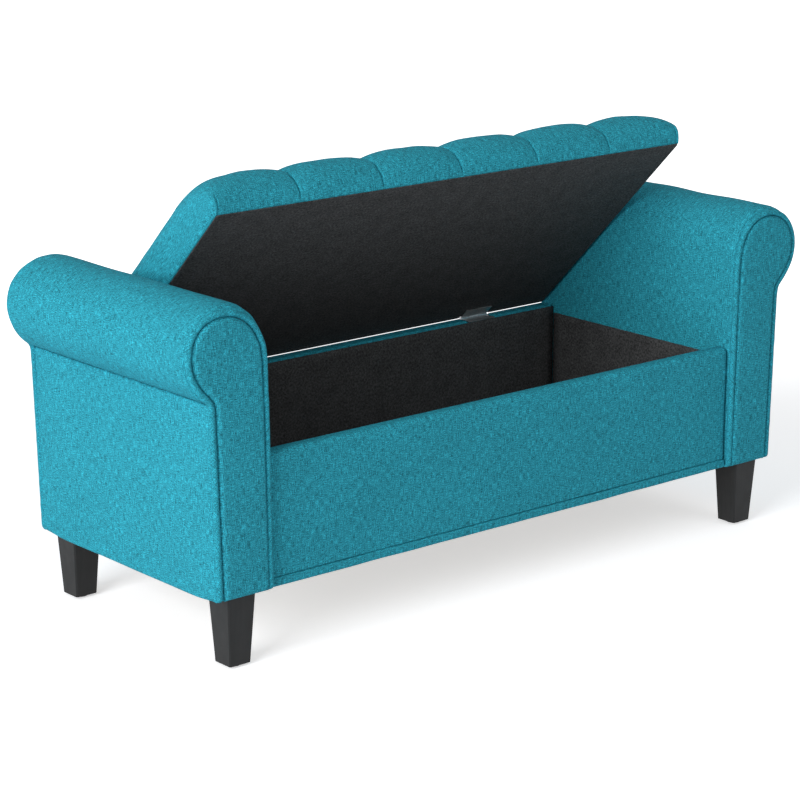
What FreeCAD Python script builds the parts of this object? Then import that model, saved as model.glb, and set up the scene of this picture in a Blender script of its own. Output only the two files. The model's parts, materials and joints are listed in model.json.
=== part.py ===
"""Rolled-arm storage ottoman with a hinged, tufted lid, shown with the lid held open.

Millimetres. X runs from the left arm to the right arm, the front faces -Y, and Z is up.
The origin is on the floor, at the centre of the footprint that the open ottoman covers.
The lid's pieces are drawn shut, about the hinge axis, and turned open by their placement.
"""
import FreeCAD, Part
import math
import os
import re
import Sketcher

DIMENSIONS = (
    ("overall_width", 1270, "outside of one arm roll to the outside of the other"),
    ("body_depth", 468, "front of the arms to their back"),
    ("footprint_offset", 18, "centre of the body to the centre of the open footprint"),
    ("clearance", 0.3, "air between neighbouring pieces"),
    ("leg_height", 110, "wooden leg without its glide"),
    ("leg_top", 51, "leg width where it meets the arm"),
    ("leg_foot", 38.5, "leg width at the floor"),
    ("leg_chamfer", 2, "broken edges of a leg"),
    ("leg_across", 537, "middle line to a leg's axis, sideways"),
    ("leg_along", 202, "middle line to a leg's axis, front to back"),
    ("glide_height", 4, "plastic glide under each leg"),
    ("glide_radius", 12, "plastic glide"),
    ("stud_radius", 4, "threaded stud in a leg's top"),
    ("stud_depth", 40, "stud inside the leg"),
    ("nut_flange_radius", 6.5, "collar of the insert nut in the arm's base plate"),
    ("nut_barrel_radius", 5.2, "barrel of that nut"),
    ("nut_flange", 2, "thickness of that collar"),
    ("roll_radius", 74, "upholstered roll of an arm"),
    ("roll_height", 478.5, "floor to the middle of the roll"),
    ("neck_half", 591, "middle line to the crease under the roll"),
    ("base_half", 584.5, "middle line to the arm's outer side at the bottom"),
    ("padding", 6, "foam and cloth over the arm's boards"),
    ("outer_padding", 4, "cloth and wadding on the arm's outer side"),
    ("facing", 10, "padded facing on an arm's front and back"),
    ("facing_rounding", 4, "soft edge of a facing"),
    ("welt_radius", 4.5, "piping round a facing"),
    ("welt_bend", 7, "piping's turn in the crease under the roll"),
    ("arm_board", 15, "shaped board behind a facing"),
    ("inner_board", 12, "arm's inner board"),
    ("outer_board", 6, "arm's outer board"),
    ("base_plate", 18, "plate in the arm's bottom that carries two legs"),
    ("tube_radius", 55, "card tube in the roll"),
    ("tube_wall", 4, "wall of that tube"),
    ("panel_recess", 9, "front panel's face behind the arm's front"),
    ("panel_gap", 1.5, "front and back panels to the arms"),
    ("panel_padding", 8, "foam and cloth on a panel's face"),
    ("panel_board", 15, "front and back boards"),
    ("panel_outer_rounding", 10, "panel's outer top edge"),
    ("panel_inner_rounding", 4, "panel's inner top edge"),
    ("panel_top", 320, "floor to the top of the front and back panels"),
    ("top_padding", 9, "foam and cloth on a panel's top edge"),
    ("band_height", 14, "sewn band along the front panel's foot"),
    ("band_drop", 2.5, "band below the arms' bottom"),
    ("band_proud", 1, "band in front of the panel's face"),
    ("lining", 1.5, "black lining sheet"),
    ("side_lining_top", 304, "floor to the top of the lining on the arms"),
    ("bottom_board", 12, "storage bottom"),
    ("batten", 20, "strips under the storage bottom"),
    ("bolt_radius", 3, "bolt between an arm and a panel board"),
    ("bolt_head_radius", 6.5, "head of that bolt"),
    ("bolt_head", 4, "thickness of that head"),
    ("bolt_reach", 60, "bolt from the inner board into the panel board"),
    ("bolt_low", 168, "floor to the lower bolts"),
    ("bolt_high", 273, "floor to the upper bolts"),
    ("cross_nut_radius", 5, "round cross nut in a panel board"),
    ("cross_nut_length", 12, "that nut along its own axis"),
    ("hinge_inset", 11, "hinge axis in front of the arms' back"),
    ("hinge_sink", 3.2, "hinge leaf's underside pressed into the back panel's padding"),
    ("hinge_place", 312, "middle line to the middle of a hinge"),
    ("hinge_width", 60, "hinge along its pin"),
    ("leaf_length", 23, "hinge axis to a leaf's free edge"),
    ("leaf", 2, "thickness of a hinge leaf"),
    ("leaf_gap", 0.6, "air between the shut leaves"),
    ("knuckle_radius", 3.5, "rolled knuckle of a hinge"),
    ("knuckle_gap", 0.4, "air between neighbouring knuckles"),
    ("pin_radius", 1.75, "hinge pin"),
    ("pin_clearance", 0.05, "air round the pin"),
    ("screw_radius", 1.75, "hinge screw"),
    ("screw_head_radius", 3.4, "flat head of a hinge screw"),
    ("screw_spacing", 21, "between neighbouring screws of a leaf"),
    ("screw_inset", 13.5, "hinge axis to a leaf's row of screws"),
    ("screw_head", 1.1, "thickness of that head"),
    ("base_screw", 18, "screw's shank into the back board"),
    ("lid_screw", 10, "screw's shank into the lid board"),
    ("open_angle", 45.1, "lid above its shut place, as shown"),
    ("lid_reach", 465, "hinge axis to the lid's front edge underneath"),
    ("lid_back", 4, "hinge axis to the lid's back edge underneath"),
    ("lid_half", 477, "middle line to the lid's side edge underneath"),
    ("lid_corner", 7, "cut corners of the lid's underside"),
    ("lid_board", 12, "lid board"),
    ("lid_foam", 30, "foam slab on the lid board"),
    ("lid_rim", 7, "cover beside the lid board"),
    ("lid_swell", 8, "cover's sides beyond the underside"),
    ("front_swell", 13, "cover's front and back beyond the underside, between pleats"),
    ("pleat_swell", 8.5, "the same at a pleat"),
    ("shoulder", 24, "cover's front or back edge to where its top begins"),
    ("side_rounding", 36, "cover's side to where its full height begins"),
    ("side_lift", 23, "widest place of the cover's side above its lower edge"),
    ("side_drop", 38, "widest place of the cover's side below its top"),
    ("biscuit_edge", 79, "cover's height above the underside at its shoulder"),
    ("biscuit_crown", 88, "cover's height at a biscuit's middle"),
    ("pleat_drop", 9, "pleat below the biscuits beside it"),
    ("seam_drop", 16, "sewn cross seam below the biscuits beside it"),
    ("biscuit_pitch", 162, "between neighbouring pleats"),
)

FASTENER_SIDES = 6
TUBE_SIDES = 24
WELT_SIDES = 6
TURNED_SIDES = 12
BISCUIT_COLUMNS = 6
BISCUIT_ROWS = 3
COLUMN_STEPS = 4
SIDE_STEPS = (1, 0.6, 0.3, 0.1, 0)
SWELL_STEPS = 6
CROWN_STEPS = 4
WAIST_SHARE = 0.45
SIDE_FLATTENING = 0.9
SIDE_SLIMMING = 0.4
OUTPUT_FOLDER = "parts"
SIDES = (("left", -1), ("right", 1))
ENDS = (("front", -1), ("rear", 1))

doc = FreeCAD.newDocument("StorageOttoman")
sheet = doc.addObject("Spreadsheet::Sheet", "Dimensions")
for row, (alias, number, note) in enumerate(DIMENSIONS, start=1):
    sheet.set(f"A{row}", note)
    sheet.set(f"B{row}", str(number))
    sheet.setAlias(f"B{row}", alias)
doc.recompute()

ALIASES = {alias for alias, number, note in DIMENSIONS}
nodes = []

# Sizes that follow from the driving dimensions
ARM_BOTTOM = "(leg_height + glide_height)"
ROLL_MIDDLE = "(overall_width / 2 - roll_radius)"
ARM_INNER = "(overall_width / 2 - 2 * roll_radius)"
ARM_BOARD_FACE = "(body_depth / 2 - facing)"
ARM_BOARD_BACK = "(body_depth / 2 - facing - arm_board)"
INNER_BOARD_NEAR = f"({ARM_INNER} + padding + clearance)"
INNER_BOARD_FAR = f"({INNER_BOARD_NEAR} + inner_board)"
INNER_BOARD_TOP = "(roll_height - 5)"
WRAP_HALF = "(body_depth / 2 - 2 * welt_radius - 2 * clearance)"
OUTER_BOARD_NEAR = "(base_half - outer_padding - clearance - outer_board)"
PANEL_FACE = "(body_depth / 2 - panel_recess)"
BOARD_FACE = f"({PANEL_FACE} - panel_padding)"
BOARD_BACK = f"({BOARD_FACE} - panel_board)"
BOARD_MIDDLE = f"({BOARD_FACE} - panel_board / 2)"
PANEL_HALF = f"({ARM_INNER} - panel_gap)"
BOARD_HALF = f"({ARM_INNER} - 2 * panel_gap)"
STORAGE_BOTTOM = f"({ARM_BOTTOM} + batten + bottom_board)"
LINING_FOOT = f"({STORAGE_BOTTOM} + lining + clearance)"
HINGE_ALONG = "(body_depth / 2 - hinge_inset)"
HINGE_HEIGHT = "(panel_top - hinge_sink + leaf + leaf_gap / 2)"
LID_UNDERSIDE = "(leaf_gap / 2 + leaf)"
LID_BOARD_FOOT = f"({LID_UNDERSIDE} + lining + clearance)"
LID_BOARD_TOP = f"({LID_BOARD_FOOT} + lid_board)"
CROSS_NUT_PLACE = f"({INNER_BOARD_FAR} - bolt_reach + cross_nut_radius + 2)"


def bind(text):
    """The expression with each dimension's name led back to the sheet."""
    return re.sub(r"[a-z_]+", lambda m: f"Dimensions.{m[0]}" if m[0] in ALIASES else m[0], str(text))


def value(text):
    """The number that an expression of dimensions comes to."""
    return float(sheet.evalExpression(bind(text)))


def finish(label, piece, lid=False):
    """Name a finished sub-part and put it in the ottoman's frame."""
    piece.Label = label
    if lid:
        piece.Placement.Rotation = FreeCAD.Rotation(FreeCAD.Vector(-1, 0, 0), 0)
        piece.setExpression("Placement.Base.y", bind(f"{HINGE_ALONG} - footprint_offset"))
        piece.setExpression("Placement.Base.z", bind(HINGE_HEIGHT))
        piece.setExpression("Placement.Rotation.Angle", bind("open_angle"))
    else:
        piece.setExpression("Placement.Base.y", bind("-footprint_offset"))
    nodes.append(piece)
    return piece


# Sketched pieces

def arc_between(start, end, radius, turn):
    """The arc from start to end, turning left (1) or right (-1), of under a half circle."""
    chord = end - start
    rise = math.sqrt(max(radius ** 2 - (chord.Length / 2) ** 2, 0))
    left = FreeCAD.Vector(-chord.y, chord.x, 0).normalize()
    centre = (start + end) / 2 + left * rise * turn
    first, last = (start, end) if turn > 0 else (end, start)
    angles = [math.atan2(point.y - centre.y, point.x - centre.x) for point in (first, last)]
    if angles[1] < angles[0]:
        angles[1] += 2 * math.pi
    circle = Part.Circle(centre, FreeCAD.Vector(0, 0, 1), radius)
    return Part.ArcOfCircle(circle, *angles)


def new_sketch(body, role, offset):
    """A sketch on one of the body's own planes, moved along the plane's normal."""
    plane = next(item for item in body.Origin.OriginFeatures if item.Role == role)
    sketch = body.newObject("Sketcher::SketchObject", "Outline")
    sketch.AttachmentSupport = [(plane, "")]
    sketch.MapMode = "FlatFace"
    sketch.setExpression("AttachmentOffset.Base.z", bind(offset))
    return sketch


def lock(sketch, kind, name, expression, *where):
    """A dimension of the sketch that follows the sheet."""
    index = sketch.addConstraint(Sketcher.Constraint(kind, *where, value(expression)))
    sketch.renameConstraint(index, name)
    sketch.setExpression(f"Constraints.{name}", bind(expression))


def draw(sketch, corners):
    """A closed outline of corners (across, up) or (across, up, radius, turn) to the next corner."""
    points = [FreeCAD.Vector(value(corner[0]), value(corner[1]), 0) for corner in corners]
    begins = []
    for index, corner in enumerate(corners):
        start, end = points[index], points[(index + 1) % len(points)]
        if len(corner) == 2:
            sketch.addGeometry(Part.LineSegment(start, end))
            begins.append(1)
        else:
            sketch.addGeometry(arc_between(start, end, value(corner[2]), corner[3]))
            begins.append(1 if corner[3] > 0 else 2)
    for index, corner in enumerate(corners):
        after = (index + 1) % len(corners)
        meeting = (index, 3 - begins[index], after, begins[after])
        sketch.addConstraint(Sketcher.Constraint("Coincident", *meeting))
    for index, corner in enumerate(corners):
        lock(sketch, "DistanceX", f"across_{index}", corner[0], -1, 1, index, begins[index])
        lock(sketch, "DistanceY", f"up_{index}", corner[1], -1, 1, index, begins[index])
        if len(corner) > 2:
            lock(sketch, "Radius", f"radius_{index}", corner[2], index)


def prism(role, low, high, corners):
    """A body padded from an outline, between two places along X, Y or Z."""
    body = doc.addObject("PartDesign::Body", "Piece")
    offset = f"-({high})" if role == "XZ_Plane" else low
    sketch = new_sketch(body, role, offset)
    draw(sketch, corners)
    pad = body.newObject("PartDesign::Pad", "Pad")
    pad.Profile = sketch
    pad.setExpression("Length", bind(f"({high}) - ({low})"))
    doc.recompute()
    return body


def rectangle(low, high):
    """The corners of a rectangle from its lowest and highest corner."""
    return [(low[0], low[1]), (high[0], low[1]), (high[0], high[1]), (low[0], high[1])]


def block(across, along, up):
    """A straight-sided body between pairs of places along X, Y and Z."""
    low, high = zip(across, along)
    return prism("XY_Plane", up[0], up[1], rectangle(low, high))


def dress(body, kind, size_name, chosen):
    """Fillet or chamfer the edges of the body that the test chooses."""
    tip = body.Tip
    names = [f"Edge{number}" for number, edge in enumerate(tip.Shape.Edges, start=1) if chosen(edge)]
    feature = body.newObject(f"PartDesign::{kind}", kind)
    feature.Base = (tip, names)
    feature.setExpression("Radius" if kind == "Fillet" else "Size", bind(size_name))
    doc.recompute()
    return body


# Holes, fasteners and groups

TURNS = {
    "X": FreeCAD.Rotation(FreeCAD.Vector(0, 1, 0), 90),
    "Y": FreeCAD.Rotation(FreeCAD.Vector(1, 0, 0), -90),
    "Z": FreeCAD.Rotation(),
}


def at(piece, place, axis="Z"):
    """Stand a round piece at a place, along an axis."""
    piece.Placement = FreeCAD.Placement(FreeCAD.Vector(), TURNS[axis])
    for letter, expression in zip("xyz", place):
        piece.setExpression(f"Placement.Base.{letter}", bind(expression))
    return piece


def rod(radius, length, place, axis="Z", sides=FASTENER_SIDES):
    """A rod with flat sides that starts at a place and runs along an axis: a fastener or its hole."""
    piece = doc.addObject("Part::Prism", "Rod")
    piece.Polygon = sides
    piece.setExpression("Circumradius", bind(radius))
    piece.setExpression("Height", bind(length))
    return at(piece, place, axis)


def round_rod(radius, length, place, axis="Z"):
    """A round rod that starts at a place and runs along an axis."""
    piece = doc.addObject("Part::Cylinder", "RoundRod")
    piece.setExpression("Radius", bind(radius))
    piece.setExpression("Height", bind(length))
    return at(piece, place, axis)


def fuse(pieces):
    """Several pieces as one."""
    if len(pieces) == 1:
        return pieces[0]
    joined = doc.addObject("Part::MultiFuse", "Joined")
    joined.Shapes = pieces
    return joined


def cut(piece, tools):
    """A piece with the tools taken out of it."""
    result = doc.addObject("Part::Cut", "Cut")
    result.Base = piece
    result.Tool = fuse(tools)
    return result


def group(pieces):
    """Separate like pieces that share one node."""
    result = doc.addObject("Part::Compound", "Group")
    result.Links = pieces
    return result


# Arms

def neck_height(inset):
    """The height of the crease under the roll, on an outline set in from the upholstery."""
    reach = f"(neck_half - ({inset}) - {ROLL_MIDDLE})"
    return f"(roll_height - sqrt((roll_radius - ({inset}))^2 - {reach}^2))"


def sided(sign, expression):
    """An expression of the right arm, for the arm on the given side."""
    return f"({sign}) * ({expression})"


def arm_outline(sign, inset, rebate=False):
    """The arm seen from the front: upright inside, roll on top, crease and leaning outside."""
    radius = f"roll_radius - ({inset})"
    near = f"{ARM_INNER} + {inset}"
    corners = [(sided(sign, near), ARM_BOTTOM)]
    if rebate:
        shy = f"{INNER_BOARD_FAR} + clearance"
        step = f"{INNER_BOARD_TOP} + clearance"
        corners = [(sided(sign, shy), ARM_BOTTOM), (sided(sign, shy), step), (sided(sign, near), step)]
    return corners + [
        (sided(sign, near), "roll_height", radius, -sign),
        (sided(sign, ROLL_MIDDLE), f"roll_height + {radius}", radius, -sign),
        (sided(sign, f"neck_half - ({inset})"), neck_height(inset)),
        (sided(sign, f"base_half - ({inset})"), ARM_BOTTOM),
    ]


def roll_band(sign, outer, inner, foot):
    """A band over the roll between two radii, down to the arm's foot on the inside if asked."""
    lean = f"((neck_half - {ROLL_MIDDLE}) / roll_radius)"
    drop = f"((roll_height - {neck_height(0)}) / roll_radius)"

    def at_crease(radius):
        return sided(sign, f"{ROLL_MIDDLE} + ({radius}) * {lean}"), f"roll_height - ({radius}) * {drop}"

    outside = [
        (sided(sign, f"{ROLL_MIDDLE} - ({outer})"), "roll_height", outer, -sign),
        (sided(sign, ROLL_MIDDLE), f"roll_height + {outer}", outer, -sign),
        at_crease(outer),
    ]
    inside = [
        (*at_crease(inner), inner, sign),
        (sided(sign, ROLL_MIDDLE), f"roll_height + {inner}", inner, sign),
        (sided(sign, f"{ROLL_MIDDLE} - ({inner})"), "roll_height"),
    ]
    if foot:
        inside.append((sided(sign, f"{ROLL_MIDDLE} - ({inner})"), foot))
        outside.insert(0, (sided(sign, f"{ROLL_MIDDLE} - ({outer})"), foot))
    return outside + inside


def bolt_places():
    """The places of one arm's four bolts, along the depth and up."""
    return [(f"({end}) * {BOARD_MIDDLE}", up) for name, end in ENDS for up in ("bolt_low", "bolt_high")]


def bolt_rods(sign, radius, near, far, places):
    """Rods along X at an arm's bolts, between two distances from the middle line."""
    low, high = (near, far) if sign > 0 else (f"-({far})", f"-({near})")
    return [rod(radius, f"({high}) - ({low})", (low, along, up), "X") for along, up in places]


def arm_boards(side, sign):
    """The arm's wooden box: shaped end boards, inner and outer boards, and the base plate."""
    half = f"{ARM_BOARD_BACK} - clearance"
    for name, end in ENDS:
        span = sorted((f"({end}) * {ARM_BOARD_FACE}", f"({end}) * {ARM_BOARD_BACK}"), key=value)
        board = prism("XZ_Plane", *span, arm_outline(sign, "(padding + clearance)", rebate=True))
        places = [place for place in bolt_places() if value(place[0]) * end > 0]
        notch_end = f"{INNER_BOARD_FAR} + bolt_head + 1"
        notches = bolt_rods(sign, "bolt_head_radius + 2 * clearance", INNER_BOARD_FAR, notch_end, places)
        finish(f"arm_{side}_{name}_board", cut(board, notches))
    inner = block(
        (sided(sign, INNER_BOARD_NEAR), sided(sign, INNER_BOARD_FAR)),
        (f"-{ARM_BOARD_FACE}", ARM_BOARD_FACE),
        (ARM_BOTTOM, INNER_BOARD_TOP),
    )
    through = (f"{INNER_BOARD_NEAR} - 1", f"{INNER_BOARD_FAR} + 1")
    holes = bolt_rods(sign, "bolt_radius + clearance", *through, bolt_places())
    finish(f"arm_{side}_inner_board", cut(inner, holes))
    rise = f"({neck_height(0)} - 8)"
    lean = f"(neck_half - base_half) * ({rise} - {ARM_BOTTOM}) / ({neck_height(0)} - {ARM_BOTTOM})"
    outer = prism("XZ_Plane", f"-({half})", half, [
        (sided(sign, OUTER_BOARD_NEAR), ARM_BOTTOM),
        (sided(sign, f"{OUTER_BOARD_NEAR} + outer_board"), ARM_BOTTOM),
        (sided(sign, f"{OUTER_BOARD_NEAR} + outer_board + {lean}"), rise),
        (sided(sign, f"{OUTER_BOARD_NEAR} + {lean}"), rise),
    ])
    finish(f"arm_{side}_outer_board", outer)
    plate = block(
        (sided(sign, f"{INNER_BOARD_FAR} + clearance"), sided(sign, f"{OUTER_BOARD_NEAR} - clearance")),
        (f"-({half})", half),
        (ARM_BOTTOM, f"{ARM_BOTTOM} + base_plate"),
    )
    holes = [
        rod("nut_barrel_radius + clearance", "base_plate + 2",
            (sided(sign, "leg_across"), f"({end}) * leg_along", f"{ARM_BOTTOM} - 1"))
        for name, end in ENDS
    ]
    finish(f"arm_{side}_base_plate", cut(plate, holes))


def arm_roll(side, sign):
    """The card tube inside the roll and the foam sleeve on it."""
    half = f"({ARM_BOARD_BACK} - clearance)"
    place = (sided(sign, ROLL_MIDDLE), f"-{half}", "roll_height")
    tube = rod("tube_radius", f"2 * {half}", place, "Y", TUBE_SIDES)
    bore = rod("tube_radius - tube_wall", f"2 * {half}", place, "Y", TUBE_SIDES)
    finish(f"arm_{side}_roll_tube", cut(tube, [bore]))
    band = roll_band(sign, "(roll_radius - padding - clearance)", "(tube_radius + clearance)", None)
    finish(f"arm_{side}_roll_foam", prism("XZ_Plane", f"-{half}", half, band))


def arm_covers(side, sign):
    """The arm's cloth: inside and roll in one piece, outer side, and lining in the box."""
    wrap = prism("XZ_Plane", f"-{WRAP_HALF}", WRAP_HALF,
                 roll_band(sign, "roll_radius", "(roll_radius - padding)", ARM_BOTTOM))
    through = (f"{ARM_INNER} - 1", f"{ARM_INNER} + padding + 1")
    holes = bolt_rods(sign, "bolt_radius + clearance", *through, bolt_places())
    finish(f"arm_{side}_roll_cover", cut(wrap, holes))
    top = f"({neck_height(0)} - 1)"
    outer = prism("XZ_Plane", f"-{WRAP_HALF}", WRAP_HALF, [
        (sided(sign, "base_half - outer_padding"), ARM_BOTTOM),
        (sided(sign, "base_half"), ARM_BOTTOM),
        (sided(sign, "neck_half"), top),
        (sided(sign, "neck_half - outer_padding"), top),
    ])
    finish(f"arm_{side}_outer_cover", outer)
    lining = block(
        (sided(sign, f"{ARM_INNER} - clearance - lining"), sided(sign, f"{ARM_INNER} - clearance")),
        (f"-({BOARD_BACK} - lining - 2 * clearance)", f"{BOARD_BACK} - lining - 2 * clearance"),
        (LINING_FOOT, "side_lining_top"),
    )
    finish(f"arm_{side}_lining", lining)


def arm_facings(side, sign):
    """The padded facings on the arm's front and back."""
    for name, end in ENDS:
        face = f"({end}) * body_depth / 2"
        back = f"({end}) * ({ARM_BOARD_FACE} + clearance)"
        outline = arm_outline(sign, "(2 * welt_radius + 2 * clearance)")
        pad = prism("XZ_Plane", *sorted((face, back), key=value), outline)
        outside = value(face)
        dress(pad, "Chamfer", "facing_rounding",
              lambda edge: edge.BoundBox.YLength < 0.01 and abs(edge.BoundBox.YMin - outside) < 0.01)
        finish(f"arm_{side}_{name}_facing", pad)


def welt_path(sign, along):
    """The line of the piping: up the inside, over the roll, round the crease and down the outside."""
    inset = value("welt_radius + clearance")
    radius = value("roll_radius") - inset
    bend = value("welt_bend")
    bottom = value(ARM_BOTTOM)
    near = value(ARM_INNER) + inset
    middle = FreeCAD.Vector(value(ROLL_MIDDLE), 0, value("roll_height"))
    foot = FreeCAD.Vector(value("base_half") - inset, 0, bottom)
    neck = FreeCAD.Vector(value("neck_half") - inset, 0, value(neck_height(0)))
    up = (neck - foot).normalize()
    out = FreeCAD.Vector(up.z, 0, -up.x)
    offset = foot + out * bend - middle
    half_b = offset.dot(up)
    climb = -half_b - math.sqrt(half_b ** 2 - offset.dot(offset) + (radius + bend) ** 2)
    leave = foot + up * climb
    bend_middle = leave + out * bend
    meet = middle + (bend_middle - middle).normalize() * radius
    bend_way = ((leave + meet) / 2 - bend_middle).normalize()

    def on_roll(degrees):
        angle = math.radians(degrees)
        return middle + FreeCAD.Vector(math.cos(angle), 0, math.sin(angle)) * radius

    meet_angle = math.degrees(math.atan2(meet.z - middle.z, meet.x - middle.x))
    stations = [
        (FreeCAD.Vector(near, 0, bottom), FreeCAD.Vector(near, 0, middle.z)),
        (on_roll(180), on_roll(135), on_roll(90)),
        (on_roll(90), on_roll((90 + meet_angle) / 2), meet),
        (meet, bend_middle + bend_way * bend, leave),
        (leave, foot),
    ]
    place = lambda point: FreeCAD.Vector(sign * point.x, along, point.z)
    edges = []
    for station in stations:
        points = [place(point) for point in station]
        curve = Part.LineSegment(*points) if len(points) == 2 else Part.Arc(*points)
        edges.append(curve.toShape())
    return Part.Wire(edges)


def arm_welts(side, sign):
    """The piping round each facing, one unbroken tube."""
    for name, end in ENDS:
        along = end * value("body_depth / 2 - welt_radius")
        path = welt_path(sign, along)
        start = path.Edges[0].valueAt(path.Edges[0].FirstParameter)
        turns = [2 * math.pi * (step + 0.5) / WELT_SIDES for step in range(WELT_SIDES)]
        reach = value("welt_radius")
        ring = [start + FreeCAD.Vector(math.cos(turn), math.sin(turn), 0) * reach for turn in turns]
        section = Part.makePolygon(ring + ring[:1])
        welt = doc.addObject("Part::Feature", "Welt")
        welt.Shape = path.makePipeShell([section], True, False)
        finish(f"arm_{side}_{name}_welt", welt)


# Front, back and bottom of the storage box

def panel_board(label, end):
    """A front or back board with its bolt holes and the seats of its cross nuts."""
    along = sorted((f"({end}) * {BOARD_FACE}", f"({end}) * {BOARD_BACK}"), key=value)
    board = block((f"-{BOARD_HALF}", BOARD_HALF), along, (ARM_BOTTOM, "panel_top - top_padding"))
    places = [place for place in bolt_places() if value(place[0]) * end > 0]
    tools = []
    bolt_tip = f"{INNER_BOARD_FAR} - bolt_reach - 3"
    seat_length = "(cross_nut_length + 2 * clearance)"
    for side, sign in SIDES:
        tools += bolt_rods(sign, "bolt_radius + clearance", bolt_tip, ARM_INNER, places)
        for place, up in places:
            seat = (sided(sign, CROSS_NUT_PLACE), f"{place} - {seat_length} / 2", up)
            tools.append(rod("cross_nut_radius + clearance", seat_length, seat, "Y"))
    if end > 0:
        foot = f"{HINGE_HEIGHT} - base_screw - leaf - 2"
        tools += hinge_screw_rods("screw_radius + clearance / 3", "base_screw", foot)
    return finish(label, cut(board, tools))


def panel_cover(label, end, foot):
    """The padded cloth on a panel's face and over its top edge, dented where the hinges lie on it."""
    face = f"({end}) * {PANEL_FACE}"
    board_face = f"({end}) * ({BOARD_FACE} + clearance)"
    inside = f"({end}) * {BOARD_BACK}"
    under = "panel_top - top_padding + clearance"
    cover = prism("YZ_Plane", f"-{PANEL_HALF}", PANEL_HALF, [
        (face, foot),
        (face, "panel_top - panel_outer_rounding", "panel_outer_rounding", end),
        (f"({end}) * ({PANEL_FACE} - panel_outer_rounding)", "panel_top"),
        (f"({end}) * ({BOARD_BACK} + panel_inner_rounding)", "panel_top", "panel_inner_rounding", end),
        (inside, "panel_top - panel_inner_rounding"),
        (inside, under),
        (board_face, under),
        (board_face, foot),
    ])
    if end > 0:
        holes = hinge_screw_rods("screw_radius + clearance", "top_padding + 2", "panel_top - top_padding - 1")
        cover = cut(cover, holes + hinge_dents())
    return finish(label, cover)


def hinge_dents():
    """Room for the hinges in the back panel's padding: under each leaf and round its knuckles."""
    dents = []
    for side, sign in SIDES:
        start = f"({sign}) * hinge_place - hinge_width / 2 - 2 * clearance"
        length = "(hinge_width + 4 * clearance)"
        hollow = doc.addObject("Part::Box", "Dent")
        hollow.setExpression("Length", bind(length))
        hollow.setExpression("Width", bind("leaf_length + hinge_inset"))
        hollow.setExpression("Height", bind("top_padding"))
        foot = f"{HINGE_HEIGHT} - leaf_gap / 2 - leaf - clearance"
        dents.append(at(hollow, (start, f"{HINGE_ALONG} - leaf_length - 2 * clearance", foot)))
        place = (start, HINGE_ALONG, HINGE_HEIGHT)
        dents.append(rod("knuckle_radius + 2 * clearance", length, place, "X", TURNED_SIDES))
    return dents


def panel_lining(label, end):
    """The black lining on a panel's inside."""
    near = f"({end}) * ({BOARD_BACK} - clearance - lining)"
    far = f"({end}) * ({BOARD_BACK} - clearance)"
    up = (LINING_FOOT, "panel_top - panel_inner_rounding")
    return finish(label, block((f"-{BOARD_HALF}", BOARD_HALF), sorted((near, far), key=value), up))


def storage_box():
    """The front and back panels and the bottom between them."""
    band_foot = f"({ARM_BOTTOM} - band_drop)"
    band_top = f"({band_foot} + band_height)"
    panel_board("front_board", -1)
    panel_cover("front_cover", -1, f"{band_top} + 2 * clearance")
    panel_lining("front_lining", -1)
    band = prism("YZ_Plane", f"-{PANEL_HALF}", PANEL_HALF, rectangle(
        (f"-({PANEL_FACE} + band_proud)", band_foot), (f"-({BOARD_FACE} + clearance)", band_top)))
    dress(band, "Fillet", "band_proud * 2",
          lambda edge: edge.BoundBox.XLength > 1 and edge.CenterOfMass.y < -value(PANEL_FACE))
    finish("front_band", band)
    panel_board("back_board", 1)
    panel_cover("back_cover", 1, ARM_BOTTOM)
    panel_lining("back_lining", 1)
    near = f"({BOARD_BACK} - clearance)"
    across = (f"-{BOARD_HALF}", BOARD_HALF)
    bottom = block(across, (f"-{near}", near), (f"{ARM_BOTTOM} + batten", STORAGE_BOTTOM))
    finish("bottom_board", bottom)
    sheet_half = f"({near} - lining - clearance)"
    sheet_across = (f"-({BOARD_HALF} - lining)", f"{BOARD_HALF} - lining")
    sheet_up = (STORAGE_BOTTOM, f"{STORAGE_BOTTOM} + lining")
    lining = block(sheet_across, (f"-{sheet_half}", sheet_half), sheet_up)
    finish("bottom_lining", lining)
    strips = [
        block(across,
              sorted((f"({end}) * {near}", f"({end}) * ({near} - batten)"), key=value),
              (ARM_BOTTOM, f"{ARM_BOTTOM} + batten"))
        for name, end in ENDS
    ]
    finish("bottom_battens", group(strips))


def panel_fasteners():
    """The bolts that hold the arms to the front and back boards, and their cross nuts."""
    bolts, nuts = [], []
    for side, sign in SIDES:
        start = f"{INNER_BOARD_FAR} - bolt_reach"
        places = bolt_places()
        shanks = bolt_rods(sign, "bolt_radius", start, f"{INNER_BOARD_FAR} + clearance", places)
        seat = f"({INNER_BOARD_FAR} + clearance)"
        heads = bolt_rods(sign, "bolt_head_radius", seat, f"{seat} + bolt_head", places)
        bolts += [fuse([shank, head]) for shank, head in zip(shanks, heads)]
        through = (f"{CROSS_NUT_PLACE} - 2 * cross_nut_radius", f"{CROSS_NUT_PLACE} + 2 * cross_nut_radius")
        bores = bolt_rods(sign, "bolt_radius + pin_clearance", *through, places)
        for bore, (along, up) in zip(bores, places):
            seat = (sided(sign, CROSS_NUT_PLACE), f"{along} - cross_nut_length / 2", up)
            nuts.append(cut(rod("cross_nut_radius", "cross_nut_length", seat, "Y"), [bore]))
    finish("panel_bolts", group(bolts))
    finish("panel_cross_nuts", group(nuts))


# Legs

def leg_places():
    """Each leg's name and its axis."""
    return [
        (f"{end_name}_{side}", sided(sign, "leg_across"), f"({end}) * leg_along")
        for end_name, end in ENDS
        for side, sign in SIDES
    ]


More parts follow.
